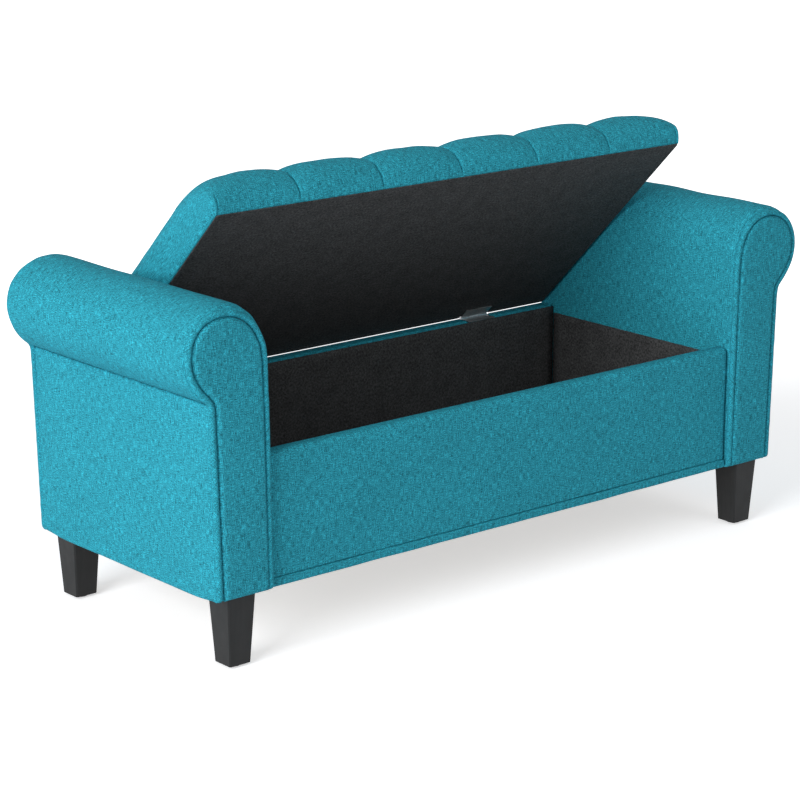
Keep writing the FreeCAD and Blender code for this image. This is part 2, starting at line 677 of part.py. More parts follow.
def tapered_leg(across, along):
    """A square leg that tapers to its foot, with its long edges broken."""
    body = doc.addObject("PartDesign::Body", "Leg")
    taper = body.newObject("PartDesign::AdditiveWedge", "Taper")
    for ends, size_name in (("", "leg_foot"), ("2", "leg_top")):
        for letter in "XZ":
            taper.setExpression(f"{letter}{ends}min", bind(f"-{size_name} / 2"))
            taper.setExpression(f"{letter}{ends}max", bind(f"{size_name} / 2"))
    taper.setExpression("Ymin", bind("glide_height"))
    taper.setExpression("Ymax", bind(ARM_BOTTOM))
    taper.Placement.Rotation = FreeCAD.Rotation(FreeCAD.Vector(1, 0, 0), 90)
    taper.setExpression("Placement.Base.x", bind(across))
    taper.setExpression("Placement.Base.y", bind(along))
    doc.recompute()
    return dress(body, "Chamfer", "leg_chamfer", lambda edge: edge.BoundBox.ZLength > 1)


def legs():
    """Tapered square legs with broken edges, each with a stud, a nut and a glide."""
    studs, nuts, glides = [], [], []
    for name, across, along in leg_places():
        stud_foot = f"{ARM_BOTTOM} - stud_depth"
        hole = rod("stud_radius + pin_clearance", "stud_depth + 1", (across, along, stud_foot))
        finish(f"leg_{name}", cut(tapered_leg(across, along), [hole]))
        plate_top = f"({ARM_BOTTOM} + base_plate)"
        studs.append(rod("stud_radius", "stud_depth + base_plate + nut_flange", (across, along, stud_foot)))
        barrel = rod("nut_barrel_radius", "base_plate / 2", (across, along, f"{plate_top} - base_plate / 2"))
        flange = rod("nut_flange_radius", "nut_flange", (across, along, plate_top))
        bore = rod("stud_radius + pin_clearance", "base_plate + nut_flange + 2", (across, along, ARM_BOTTOM))
        nuts.append(cut(fuse([barrel, flange]), [bore]))
        glides.append(rod("glide_radius", "glide_height", (across, along, "0"), sides=TURNED_SIDES))
    finish("leg_studs", group(studs))
    finish("leg_nuts", group(nuts))
    finish("leg_glides", group(glides))


# Hinges

def hinge_screw_places():
    """The places of both hinges' screws along X."""
    return [
        f"({sign}) * hinge_place + ({step}) * screw_spacing"
        for side, sign in SIDES
        for step in (-1, 0, 1)
    ]


def hinge_screw_rods(radius, length, foot):
    """Upright rods at the screws of the leaves on the back panel."""
    along = f"{HINGE_ALONG} - screw_inset"
    return [rod(radius, length, (across, along, foot)) for across in hinge_screw_places()]


def knuckle(radius, sign, third):
    """One third of a hinge's barrel, on the hinge axis: -1, 0 or 1 from left to right."""
    middle = f"({sign}) * hinge_place + ({third}) * hinge_width / 3"
    length = "(hinge_width / 3 - knuckle_gap)"
    return rod(radius, length, (f"{middle} - {length} / 2", "0", "0"), "X", TURNED_SIDES)


def leaf(sign, foot, thirds, seat_foot):
    """A hinge leaf about the hinge axis, with its knuckles, pin hole, screw holes and head seats."""
    plate = doc.addObject("Part::Box", "Plate")
    for name, expression in (("Length", "hinge_width"), ("Width", "leaf_length - 1"), ("Height", "leaf")):
        plate.setExpression(name, bind(expression))
    at(plate, (f"({sign}) * hinge_place - hinge_width / 2", "-leaf_length", foot))
    others = [third for third in (-1, 0, 1) if third not in thirds]
    room = []
    for third in others:
        start = f"({sign}) * hinge_place + ({third} - 0.5) * hinge_width / 3 - knuckle_gap / 2"
        length = "hinge_width / 3 + knuckle_gap"
        room.append(rod("knuckle_radius + 2 * clearance", length, (start, "0", "0"), "X", TURNED_SIDES))
    rolled = fuse([cut(plate, room)] + [knuckle("knuckle_radius", sign, third) for third in thirds])
    reach = "(hinge_width + 4)"
    start = (f"({sign}) * hinge_place - {reach} / 2", "0", "0")
    holes = [round_rod("pin_radius + pin_clearance", reach, start, "X")]
    for step in (-1, 0, 1):
        across = f"({sign}) * hinge_place + ({step}) * screw_spacing"
        through = (across, "-screw_inset", f"{foot} - 1")
        seat = (across, "-screw_inset", seat_foot)
        holes.append(rod("screw_radius + clearance / 3", "leaf + 2", through))
        holes.append(rod("screw_head_radius + clearance / 3", "screw_head", seat))
    return cut(rolled, holes)


def hinges():
    """Two hinges: leaves on the back panel and under the lid, pins and screws."""
    base_foot = "(-leaf - leaf_gap / 2)"
    lid_foot = "(leaf_gap / 2)"
    pins = []
    for side, sign in SIDES:
        base = leaf(sign, base_foot, (-1, 1), f"{base_foot} + leaf - screw_head")
        at(base, ("0", f"{HINGE_ALONG} - footprint_offset", HINGE_HEIGHT))
        base.Label = f"hinge_{side}_base_leaf"
        nodes.append(base)
        finish(f"hinge_{side}_lid_leaf", leaf(sign, lid_foot, (0,), lid_foot), lid=True)
        reach = "(hinge_width + 1)"
        start = (f"({sign}) * hinge_place - {reach} / 2", HINGE_ALONG, HINGE_HEIGHT)
        pins.append(round_rod("pin_radius", reach, start, "X"))
    finish("hinge_pins", group(pins))
    base_screws, lid_screws = [], []
    for across in hinge_screw_places():
        along = f"{HINGE_ALONG} - screw_inset"
        seat = f"({HINGE_HEIGHT} + {base_foot} + leaf - screw_head + clearance / 3)"
        head = rod("screw_head_radius", "screw_head - clearance / 3", (across, along, seat))
        shank = rod("screw_radius", "base_screw", (across, along, f"{seat} - base_screw"))
        base_screws.append(fuse([head, shank]))
        head = rod("screw_head_radius", "screw_head - clearance / 3", (across, "-screw_inset", lid_foot))
        shank_foot = f"{lid_foot} + screw_head - clearance / 3"
        shank = rod("screw_radius", "lid_screw", (across, "-screw_inset", shank_foot))
        lid_screws.append(fuse([head, shank]))
    finish("hinge_base_screws", group(base_screws))
    finish("hinge_lid_screws", group(lid_screws), lid=True)


# Lid, drawn shut about the hinge axis

def rounded_slab(inset, low, high):
    """A slab under the lid's cover, with its corners cut off."""
    half = f"lid_half - ({inset})"
    slab = block((f"-({half})", half), (f"-lid_reach + ({inset})", f"-lid_back - ({inset})"), (low, high))
    thickness = value(f"({high}) - ({low})")
    return dress(slab, "Chamfer", "lid_corner", lambda edge: abs(edge.BoundBox.ZLength - thickness) < 0.01
                 and edge.BoundBox.XLength < 0.01 and edge.BoundBox.YLength < 0.01)


def lid_screw_rods(radius):
    """Upright rods at the screws of the leaves under the lid."""
    foot = "leaf_gap / 2"
    return [rod(radius, "lid_screw + 2", (across, "-screw_inset", foot)) for across in hinge_screw_places()]


def cover_section(across):
    """The lid cover cut across its width at one place: swelling front and back, crowned biscuits between."""
    half = value("lid_half")
    pitch = value("biscuit_pitch")
    outermost = pitch * (BISCUIT_COLUMNS - 1) / 2
    fullness = 1 if abs(across) > outermost else abs(math.sin(math.pi * across / pitch))
    tip = half + value("lid_swell")
    turned = max(abs(across) - tip + value("side_rounding"), 0) / value("side_rounding")
    round_off = 1 - math.sqrt(max(1 - turned ** 2, 0))
    lifted = max(abs(across) - half, 0) / value("lid_swell")
    low = value(LID_BOARD_FOOT) + lifted * value("side_lift")
    drop = value("pleat_drop") * (1 - fullness) + value("side_drop") * round_off
    edge = value(f"{LID_UNDERSIDE} + biscuit_edge") - drop
    relief = 1 - SIDE_FLATTENING * round_off
    crown = edge + value("biscuit_crown - biscuit_edge") * relief
    seam = crown - value("seam_drop") * relief
    swell = value("pleat_swell") + value("front_swell - pleat_swell") * fullness
    swell *= 1 - SIDE_SLIMMING * round_off
    shoulder = value("shoulder")
    front = -value("lid_reach") + round_off * shoulder
    back = -value("lid_back") - round_off * shoulder
    waist = low + (edge - low) * WAIST_SHARE
    row = (back - front - 2 * shoulder) / BISCUIT_ROWS

    def point(along, up):
        return FreeCAD.Vector(across, along, up)

    seams = [point(front + shoulder + row * number, seam) for number in range(1, BISCUIT_ROWS)]
    corners = [point(front, low), point(front + shoulder, edge), *seams]
    corners += [point(back - shoulder, edge), point(back, low)]
    crowns = [point(front + shoulder + row * (number + 0.5), crown) for number in range(BISCUIT_ROWS)]
    through = [point(front - swell, waist), *crowns, point(back + swell, waist)]
    steps = [SWELL_STEPS] + [CROWN_STEPS] * BISCUIT_ROWS + [SWELL_STEPS]
    outline = []
    for index, count in enumerate(steps):
        arc = Part.Arc(corners[index], through[index], corners[index + 1]).toShape()
        outline += arc.discretize(Number=count + 1)[:-1]
    return Part.makePolygon(outline + [corners[-1], corners[0]])


def cover_places():
    """Where the lid cover's sections lie: evenly over the biscuits, closer at the rounded sides."""
    outermost = value("biscuit_pitch") * (BISCUIT_COLUMNS - 1) / 2
    step = value("biscuit_pitch") / COLUMN_STEPS
    reach = int(outermost / step)
    places = [step * index for index in range(-reach, reach + 1)]
    tip = value("lid_half + lid_swell")
    ends = [tip - value("side_rounding") * share for share in SIDE_STEPS]
    return [-place for place in reversed(ends)] + places + ends


def lid():
    """The lid: board, foam slab, tufted cover drawn over both, and the lining underneath."""
    lining = rounded_slab(1, LID_UNDERSIDE, f"{LID_UNDERSIDE} + lining")
    finish("lid_lining", cut(lining, lid_screw_rods("screw_radius + clearance / 3")), lid=True)
    board = rounded_slab("lid_rim", LID_BOARD_FOOT, LID_BOARD_TOP)
    finish("lid_board", cut(board, lid_screw_rods("screw_radius + clearance / 3")), lid=True)
    foam_foot = f"({LID_BOARD_TOP} + clearance)"
    finish("lid_foam", rounded_slab("lid_rim", foam_foot, f"{foam_foot} + lid_foam"), lid=True)
    form = doc.addObject("Part::Feature", "CoverForm")
    form.Shape = Part.makeLoft([cover_section(place) for place in cover_places()], True, True)
    room = rounded_slab("lid_rim - clearance", f"{LID_BOARD_FOOT} - 1", f"{foam_foot} + lid_foam + clearance")
    finish("lid_cover", cut(form, [room]), lid=True)


def check():
    """Stop if anything failed to build, or a sub-part has no sound shape."""
    doc.recompute()
    for item in doc.Objects:
        if "Invalid" in item.State or "Error" in item.State:
            raise RuntimeError(f"{item.Name} ({item.Label}) failed: {item.State}")
    labels = [node.Label for node in nodes]
    if len(set(labels)) != len(labels):
        raise RuntimeError("two sub-parts share a name")
    for node in nodes:
        if node.Shape.isNull() or not node.Shape.isValid() or node.Shape.Volume <= 0:
            raise RuntimeError(f"{node.Label} has no sound shape")


storage_box()
panel_fasteners()
for side, sign in SIDES:
    arm_boards(side, sign)
    arm_roll(side, sign)
    arm_covers(side, sign)
    arm_facings(side, sign)
    arm_welts(side, sign)
legs()
hinges()
lid()
check()
os.makedirs(OUTPUT_FOLDER, exist_ok=True)
for node in nodes:
    node.Shape.exportStep(os.path.join(OUTPUT_FOLDER, f"{node.Label}.step"))
print(len(nodes), "sub-parts written")
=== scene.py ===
"""Looks of the rolled-arm storage ottoman, its tufted lid held open.

Shapes are worked out in millimetres about the middle of the body, with the front facing -Y, and put
into the shared frame in metres. The lid is worked out shut, about its hinge axis, and turned open.
"""
import json
import math

import bmesh
import bpy
import numpy as np
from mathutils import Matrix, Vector


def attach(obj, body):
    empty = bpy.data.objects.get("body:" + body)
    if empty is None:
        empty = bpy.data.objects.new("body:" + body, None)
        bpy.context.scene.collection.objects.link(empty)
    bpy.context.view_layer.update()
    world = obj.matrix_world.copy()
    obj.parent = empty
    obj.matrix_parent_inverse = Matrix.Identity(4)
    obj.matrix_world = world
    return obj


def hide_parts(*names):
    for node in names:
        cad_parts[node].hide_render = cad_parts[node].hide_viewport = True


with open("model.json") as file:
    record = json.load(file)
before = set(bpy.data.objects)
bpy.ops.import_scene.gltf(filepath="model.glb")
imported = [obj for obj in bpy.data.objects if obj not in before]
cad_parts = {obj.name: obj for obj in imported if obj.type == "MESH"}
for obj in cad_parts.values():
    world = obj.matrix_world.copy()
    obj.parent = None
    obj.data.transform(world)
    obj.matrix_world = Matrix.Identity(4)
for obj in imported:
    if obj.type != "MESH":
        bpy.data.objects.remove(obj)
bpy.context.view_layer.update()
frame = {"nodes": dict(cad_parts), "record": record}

MM = 0.001
MERGE_DISTANCE = 0.02
SIDES = (("left", -1), ("right", 1))
ENDS = (("front", -1), ("rear", 1))

# Sizes shared with the solids, in millimetres
FOOTPRINT_OFFSET = 18
ARM_BOTTOM = 114
ARM_INNER = 487
ROLL_ACROSS = 561
ROLL_HEIGHT = 478.5
ROLL_RADIUS = 74
NECK_HALF = 591
BASE_HALF = 584.5
BODY_HALF = 234
PANEL_FACE = 225
PANEL_BOARD_FACE = 217.3
PANEL_BOARD_BACK = 202
PANEL_HALF = 485.5
PANEL_TOP = 320
PANEL_UNDER = 311.3
BAND_LOW = 111.5
BAND_TOP = 125.5
HINGE_ALONG = 223
HINGE_HEIGHT = 319.1
HINGE_PLACE = 312
HINGE_HALF = 30
OPEN_ANGLE = math.radians(45.1)


def neck_height(inset=0):
    """The height of the crease under the roll, on an outline set in from the upholstery."""
    reach = NECK_HALF - inset - ROLL_ACROSS
    return ROLL_HEIGHT - math.sqrt((ROLL_RADIUS - inset) ** 2 - reach ** 2)


# Mesh helpers

def ripple(first, second, wavelength, seed, waves=7):
    """A smooth uneven field of about -1 to 1 over two coordinates."""
    chance = np.random.RandomState(seed)
    total = np.zeros(np.broadcast(first, second).shape)
    for angle, phase, stretch in chance.rand(waves, 3):
        turn = angle * 2 * math.pi
        pace = 2 * math.pi / (wavelength * (0.7 + 0.8 * stretch))
        total += np.sin((first * math.cos(turn) + second * math.sin(turn)) * pace + phase * 2 * math.pi)
    return total / math.sqrt(waves * 1.5)


def smooth_step(amount):
    """A soft rise from 0 to 1."""
    amount = np.clip(amount, 0, 1)
    return amount * amount * (3 - 2 * amount)


def rounded_edge(distance, radius):
    """How far a rounded edge falls back at a distance from it."""
    short = np.clip(1 - distance / radius, 0, 1)
    return radius * (1 - np.sqrt(1 - short ** 2))


def stations(low, high, fine, step):
    """Places from low to high: at the fine distances from both ends, and evenly between them."""
    inside = np.linspace(low + fine[-1], high - fine[-1], max(int((high - low) / step), 2))
    return np.concatenate([low + np.array(fine[:-1]), inside, high - np.array(fine[-2::-1])])


def grid_faces(rows, columns, wrap=False, start=0):
    """The four-sided faces of a grid of points, closed round its columns if asked."""
    faces = []
    for row in range(rows - 1):
        for column in range(columns if wrap else columns - 1):
            after = (column + 1) % columns
            faces.append((start + row * columns + column, start + row * columns + after,
                          start + (row + 1) * columns + after, start + (row + 1) * columns + column))
    return faces


def tube_faces(rings, sides):
    """The faces of a closed tube of rings, with a cap on each end."""
    last = (rings - 1) * sides
    caps = [tuple(range(sides)), tuple(range(last, last + sides))]
    return grid_faces(rings, sides, wrap=True) + caps


def tube_places(along, around):
    """Places on the cloth of a tube's points, from their places along and around it."""
    return np.stack(np.broadcast_arrays(along, around), axis=-1).reshape(-1, 2)


def add_piece(name, points, faces, uvs, material, body):
    """A smooth closed mesh that rides on a body, from points in millimetres."""
    mesh = bpy.data.meshes.new(name)
    placed = (np.asarray(points, dtype=float) - (0, FOOTPRINT_OFFSET, 0)) * MM
    mesh.from_pydata(placed.tolist(), [], faces)
    layer = mesh.uv_layers.new(name="weave")
    corners = np.empty(len(mesh.loops), dtype=np.int32)
    mesh.loops.foreach_get("vertex_index", corners)
    layer.data.foreach_set("uv", (np.asarray(uvs)[corners] * MM).astype(np.float32).ravel())
    work = bmesh.new()
    work.from_mesh(mesh)
    bmesh.ops.remove_doubles(work, verts=work.verts, dist=MERGE_DISTANCE * MM)
    bmesh.ops.recalc_face_normals(work, faces=work.faces)
    work.to_mesh(mesh)
    work.free()
    mesh.shade_smooth()
    mesh.materials.append(material)
    piece = bpy.data.objects.new(name, mesh)
    bpy.context.scene.collection.objects.link(piece)
    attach(piece, body)
    return piece


def slab_from_grids(front, back, uvs):
    """Points, faces and places on the cloth of a closed sheet with a front and a back grid."""
    rows, columns = front.shape[:2]
    count = rows * columns
    points = np.concatenate([front.reshape(-1, 3), back.reshape(-1, 3)])
    faces = grid_faces(rows, columns) + grid_faces(rows, columns, start=count)
    rim = list(range(columns))
    rim += [row * columns + columns - 1 for row in range(1, rows)]
    rim += [(rows - 1) * columns + column for column in range(columns - 2, -1, -1)]
    rim += [row * columns for row in range(rows - 2, 0, -1)]
    for here, there in zip(rim, rim[1:] + rim[:1]):
        faces.append((here, there, there + count, here + count))
    flat = uvs.reshape(-1, 2)
    return points, faces, np.concatenate([flat, flat])


def lengths_along(points):
    """The distance along a line of points to each of them."""
    steps = np.linalg.norm(np.diff(points, axis=0), axis=1)
    return np.concatenate([[0], np.cumsum(steps)])


def normals_along(points):
    """The normals on the left of a line of points in a plane."""
    ways = np.gradient(points, axis=0)
    ways /= np.linalg.norm(ways, axis=1)[:, None]
    return np.stack([-ways[:, 1], ways[:, 0]], axis=1)


def arc_points(centre, radius, first, last, step=2.0):
    """Points on an arc between two angles in degrees, about a step apart."""
    count = max(int(abs(math.radians(last - first)) * radius / step), 3)
    turn = np.radians(np.linspace(first, last, count + 1))
    return np.stack([centre[0] + radius * np.cos(turn), centre[1] + radius * np.sin(turn)], axis=1)


def line_points(start, end, step=3.0):
    """Points on a line, about a step apart."""
    count = max(int(math.dist(start, end) / step), 1)
    share = np.linspace(0, 1, count + 1)[:, None]
    return np.asarray(start) * (1 - share) + np.asarray(end) * share


def joined(*lines):
    """Lines of points one after another, without the points they share."""
    parts = [lines[0]]
    for line in lines[1:]:
        parts.append(line[1:] if np.allclose(line[0], parts[-1][-1], atol=1e-6) else line)
    return np.concatenate(parts)


def evened(points, step):
    """A line of points in a plane, with its points about a step apart."""
    along = lengths_along(points)
    places = np.linspace(0, along[-1], int(along[-1] / step) + 1)
    return np.stack([np.interp(places, along, column) for column in points.T], axis=1)


def softened(points, times):
    """A line of points with its corners rounded off, its ends kept."""
    points = points.copy()
    for _ in range(times):
        points[1:-1] = (points[:-2] + 2 * points[1:-1] + points[2:]) / 4
    return points


# Materials

def node(tree, kind, inputs=None, **settings):
    """A shader node with its settings, and its inputs set or linked."""
    item = tree.nodes.new(kind)
    for key, setting in settings.items():
        setattr(item, key, setting)
    for key, given in (inputs or {}).items():
        if isinstance(given, bpy.types.NodeSocket):
            tree.links.new(given, item.inputs[key])
        else:
            item.inputs[key].default_value = given
    return item


def new_material(name):
    """A material, its node tree and its shader."""
    material = bpy.data.materials.new(name)
    material.use_nodes = True
    return material, material.node_tree, material.node_tree.nodes["Principled BSDF"]


def stretched_noise(tree, place, scale, detail=2.0):
    """Noise with its own scale along each coordinate."""
    spread = node(tree, "ShaderNodeMapping", {"Vector": place, "Scale": scale}).outputs["Vector"]
    noise = node(tree, "ShaderNodeTexNoise", {"Vector": spread, "Scale": 1.0, "Detail": detail})
    return noise.outputs["Fac"]


def ranged(tree, amount, low=0.0, high=1.0, to_low=0.0, to_high=1.0):
    """An amount stretched so that low and high become two other amounts, at first 0 and 1."""
    spread = node(tree, "ShaderNodeMapRange", {"Value": amount, "From Min": low, "From Max": high,
                                               "To Min": to_low, "To Max": to_high})
    return spread.outputs["Result"]


def maths(tree, operation, first, second):
    """Two amounts put together."""
    item = node(tree, "ShaderNodeMath", {0: first, 1: second}, operation=operation)
    return item.outputs["Value"]


def mixed(tree, amount, first, second, blend="MIX"):
    """A colour between two others, or one multiplied by the other."""
    item = node(tree, "ShaderNodeMix", data_type="RGBA", blend_type=blend)
    for socket, given in (("Factor_Float", amount), ("A_Color", first), ("B_Color", second)):
        target = next(entry for entry in item.inputs if entry.identifier == socket)
        if isinstance(given, bpy.types.NodeSocket):
            tree.links.new(given, target)
        else:
            target.default_value = (*given, 1.0) if socket != "Factor_Float" else given
    return next(entry for entry in item.outputs if entry.identifier == "Result_Color")


def bumped(tree, shader, height, strength, distance):
    """Bump of a height on the shader."""
    bump = node(tree, "ShaderNodeBump", {"Height": height, "Strength": strength, "Distance": distance})
    tree.links.new(bump.outputs["Normal"], shader.inputs["Normal"])


def seen_ray(tree):
    """1 for what the camera sees straight, in a gloss or through glass, and 0 for light on the object."""
    path = node(tree, "ShaderNodeLightPath")
    seen = maths(tree, "MAXIMUM", path.outputs["Is Camera Ray"], path.outputs["Is Glossy Ray"])
    return maths(tree, "MAXIMUM", seen, path.outputs["Is Transmission Ray"])


def shade(colour, factor):
    """A colour made lighter or darker."""
    return tuple(channel * factor for channel in colour)


# Cloth colour, and the scale of its noises over a metre of cloth
CLOTH = (0.0225, 0.274, 0.361)
WEAVE_DEPTH = 0.74
WARP = (1020, 75, 1)
WEFT = (110, 1020, 1)
FLECK = (940, 940, 1)
DYE = (9, 9, 1)
FLECK_WEIGHT = 2.0
SLUB_LOW, SLUB_HIGH = 1.55, 2.45
SLUB_CONTRAST = 1.6
DYE_LOW, DYE_HIGH = (0.96, 0.96, 0.96), (1.04, 1.04, 1.04)
THREAD_PITCH = 0.0013
WAVES_PER_SCALE = 20 / (2 * math.pi)


def cloth_material(name):
    """Matt linen-look cloth: crossing threads, slubs along both and a faint uneven dye."""
    material, tree, shader = new_material(name)
    place = node(tree, "ShaderNodeUVMap", uv_map="weave").outputs["UV"]
    warp = stretched_noise(tree, place, WARP)
    weft = stretched_noise(tree, place, WEFT)
    fleck = stretched_noise(tree, place, FLECK, 3.0)
    cloud = stretched_noise(tree, place, DYE)
    flecks = maths(tree, "MULTIPLY", fleck, FLECK_WEIGHT)
    slub = maths(tree, "ADD", maths(tree, "ADD", warp, weft), flecks)
    tone = maths(tree, "POWER", ranged(tree, slub, SLUB_LOW, SLUB_HIGH), SLUB_CONTRAST)
    woven = mixed(tree, tone, shade(CLOTH, 1 - WEAVE_DEPTH), shade(CLOTH, 1 + 2 * WEAVE_DEPTH))
    dyed = mixed(tree, ranged(tree, cloud, 0.3, 0.7), DYE_LOW, DYE_HIGH)
    tree.links.new(mixed(tree, 1.0, woven, dyed, "MULTIPLY"), shader.inputs["Base Color"])
    pace = 1 / WAVES_PER_SCALE / THREAD_PITCH
    wave = {"Vector": place, "Scale": pace, "Distortion": 1.2, "Detail": 1.0}
    threads = [
        node(tree, "ShaderNodeTexWave", wave, wave_type="BANDS", bands_direction=way).outputs["Fac"]
        for way in ("X", "Y")
    ]
    height = maths(tree, "ADD", maths(tree, "MAXIMUM", *threads), slub)
    bumped(tree, shader, height, 0.45, 0.0006)
    tree.links.new(ranged(tree, fleck, to_low=0.82, to_high=0.98), shader.inputs["Roughness"])
    shader.inputs["Specular IOR Level"].default_value = 0.14
    return material


FELT_DARK, FELT_LIGHT = (0.011, 0.012, 0.0125), (0.084, 0.086, 0.088)
FIBRES = ((900, 240, 1), (260, 900, 1))


def felt_material():
    """Thin black non-woven lining with pressed fibres."""
    material, tree, shader = new_material("black_non_woven")
    place = node(tree, "ShaderNodeUVMap", uv_map="weave").outputs["UV"]
    fibres = [stretched_noise(tree, place, scale, 4.0) for scale in FIBRES]
    blotch = stretched_noise(tree, place, (240, 240, 1), 4.0)
    cloud = stretched_noise(tree, place, (38, 38, 1), 4.0)
    patchy = maths(tree, "MULTIPLY", blotch, ranged(tree, cloud, 0.3, 0.7, 1.7, 2.3))
    matted = maths(tree, "MULTIPLY", maths(tree, "MULTIPLY", *fibres), patchy)
    colour = mixed(tree, ranged(tree, matted, 0.12, 0.40), FELT_DARK, FELT_LIGHT)
    tree.links.new(colour, shader.inputs["Base Color"])
    bumped(tree, shader, matted, 0.4, 0.0006)
    shader.inputs["Roughness"].default_value = 0.8
    shader.inputs["Specular IOR Level"].default_value = 0.3
    return material


LACQUER_DARK, LACQUER_LIGHT = (0.011, 0.0115, 0.012), (0.015, 0.0155, 0.016)


def lacquer_material():
    """Black satin lacquer with the wood's grain faintly under it."""
    material, tree, shader = new_material("black_lacquer")
    place = node(tree, "ShaderNodeTexCoord").outputs["Object"]
    grain = stretched_noise(tree, place, (160, 160, 9), 4.0)
    wear = stretched_noise(tree, place, (40, 40, 40), 5.0)
    colour = mixed(tree, ranged(tree, grain, 0.35, 0.7), LACQUER_DARK, LACQUER_LIGHT)
    tree.links.new(colour, shader.inputs["Base Color"])
    tree.links.new(ranged(tree, wear, 0.3, 0.7, 0.42, 0.56), shader.inputs["Roughness"])
    shader.inputs["Specular IOR Level"].default_value = 0.25
    bumped(tree, shader, grain, 0.05, 0.0004)
    return material


def wood_material():
    """Raw board, used where the frame is under cloth."""
    material, tree, shader = new_material("raw_board")
    place = node(tree, "ShaderNodeTexCoord").outputs["Object"]
    grain = stretched_noise(tree, place, (8, 120, 120), 5.0)
    wave = {"Vector": place, "Scale": 9.0, "Distortion": 6.0, "Detail": 2.0}
    rings = node(tree, "ShaderNodeTexWave", wave, bands_direction="Z").outputs["Fac"]
    tone = maths(tree, "MULTIPLY", grain, rings)
    colour = mixed(tree, ranged(tree, tone, 0.05, 0.5), (0.36, 0.30, 0.23), (0.50, 0.43, 0.34))
    tree.links.new(colour, shader.inputs["Base Color"])
    bumped(tree, shader, tone, 0.2, 0.0005)
    shader.inputs["Roughness"].default_value = 0.75
    return material


ROUGH_SPREAD = 0.08


def plain_material(name, dark, light, scale, rough, metallic=0.0, stretch=(1, 1, 1)):
    """A material with an uneven tone, roughness and skin, for what is small or under the cloth."""
    material, tree, shader = new_material(name)
    place = node(tree, "ShaderNodeTexCoord").outputs["Object"]
    grain = stretched_noise(tree, place, tuple(scale * way for way in stretch), 4.0)
    tone = ranged(tree, grain, 0.3, 0.7)
    tree.links.new(mixed(tree, tone, dark, light), shader.inputs["Base Color"])
    spread = ranged(tree, grain, to_low=rough - ROUGH_SPREAD, to_high=rough + ROUGH_SPREAD)
    tree.links.new(spread, shader.inputs["Roughness"])
    bumped(tree, shader, grain, 0.15, 0.0003)
    shader.inputs["Metallic"].default_value = metallic
    return material


cloth = cloth_material("teal_linen")
felt = felt_material()
SLOT_MATERIALS = {
    "upholstery": cloth,
    "piping": cloth,
    "lining": felt,
    "foam": plain_material("open_foam", (0.70, 0.66, 0.50), (0.86, 0.82, 0.68), 900, 0.9),
    "card": plain_material("wound_card", (0.44, 0.32, 0.20), (0.58, 0.45, 0.30), 90, 0.85,
                           stretch=(1, 0.2, 1)),
    "frame_wood": wood_material(),
    "leg_wood": lacquer_material(),
    "glide": plain_material("glide_plastic", (0.02, 0.02, 0.02), (0.035, 0.035, 0.035), 300, 0.55),
    "hinge_steel": plain_material("zinc_plate", (0.42, 0.42, 0.43), (0.58, 0.58, 0.58), 260, 0.36, 1.0),
    "fastener": plain_material("fastener_zinc", (0.42, 0.42, 0.40), (0.56, 0.56, 0.54), 300, 0.4, 1.0),
}
EDGE_WIDTHS = {"leg_wood": 0.9, "hinge_steel": 0.25}
for part in frame["record"]["subparts"]:
    solid = frame["nodes"][part["node"]]
    solid.data.materials.clear()
    solid.data.materials.append(SLOT_MATERIALS[part["material_slot"]])
    if part["material_slot"] in EDGE_WIDTHS:
        soften = solid.modifiers.new("SoftEdges", "BEVEL")
        soften.width = EDGE_WIDTHS[part["material_slot"]] * MM
        soften.segments = 2
        soften.limit_method = "ANGLE"


# Arms

WRAP_THICKNESS = 4.5
WRAP_END = 229.8
WRAP_LEAST_FALL = 3
WRAP_END_LENGTH = 20
WRAP_REAR_LENGTH = 16
WRAP_FULL_FALL = 11
WRAP_SHORTEST = 0.35
WRAP_FOOT_ROLL = 5
TUCK_ANGLE = 12
TUCK_DEPTH = 5
STITCH_LINE = 12
STITCH_PITCH = 6.5
STITCH_DEPTH = 0.45
STITCH_WIDTH = 1.3
ROLL_PUCKER = 0.5
ROLL_PUCKER_LENGTH = 21
ROLL_PUCKER_FADE = 24
ROLL_RUMPLE = 0.7
ROLL_RUMPLE_LENGTH = 150
FINE_ENDS = (0, 0.25, 0.6, 1.1, 1.8, 2.6, 3.6, 4.6, 5.6, 6.6, 7.6, 8.6, 9.6, 10.6,
             12, 14, 17, 21, 26, 32, 40)
# The facing's edge: its inside, its radius round the roll by angle, the crease and the foot
FACING_INSIDE = ((491.3, 0), (496.6, 284.5))
FACING_ROLL = ((203, 67.5), (190, 62), (170, 58), (150, 55.6), (120, 55.4), (90, 56.4), (70, 58.6),
               (50, 61.8), (30, 63.2), (0, 62), (-20, 61), (-40, 61), (-58, 63))
FACING_CREASE = ((26, -61), (22.6, -70), (21.6, -86))
FACING_FOOT = 574.3
FACING_FRONT = 237.5
FACING_EDGE_DEPTH = 8.5
FACING_EDGE_WIDTH = 7
FACING_CORNER = 2.5
FACING_DROP = 1.2
FACING_CROWN = 1.4
FACING_CROWN_REACH = 22
FACING_PUCKER = 1.1
FACING_PUCKER_LENGTH = 20
FACING_PUCKER_FADE = 34
FACING_RUMPLE = 0.35
FACING_RUMPLE_LENGTH = 110
FACING_BACK = 9.5
WELT_RADIUS = 5
WELT_OFFSET = 5.3
WELT_TIGHTER = 1.2
WELT_INSIDE = 0.8
WELT_BACK = 2.6
WELT_RECESS = 2
WELT_SIDES = 12
WELT_COVERS = 1.8
WELT_UNEVEN = 0.14
WELT_UNEVEN_LENGTH = 24
WELT_END_BEND = 8
WELT_END_SHARE = 0.7
WELT_WEAVE_SCALE = 0.7


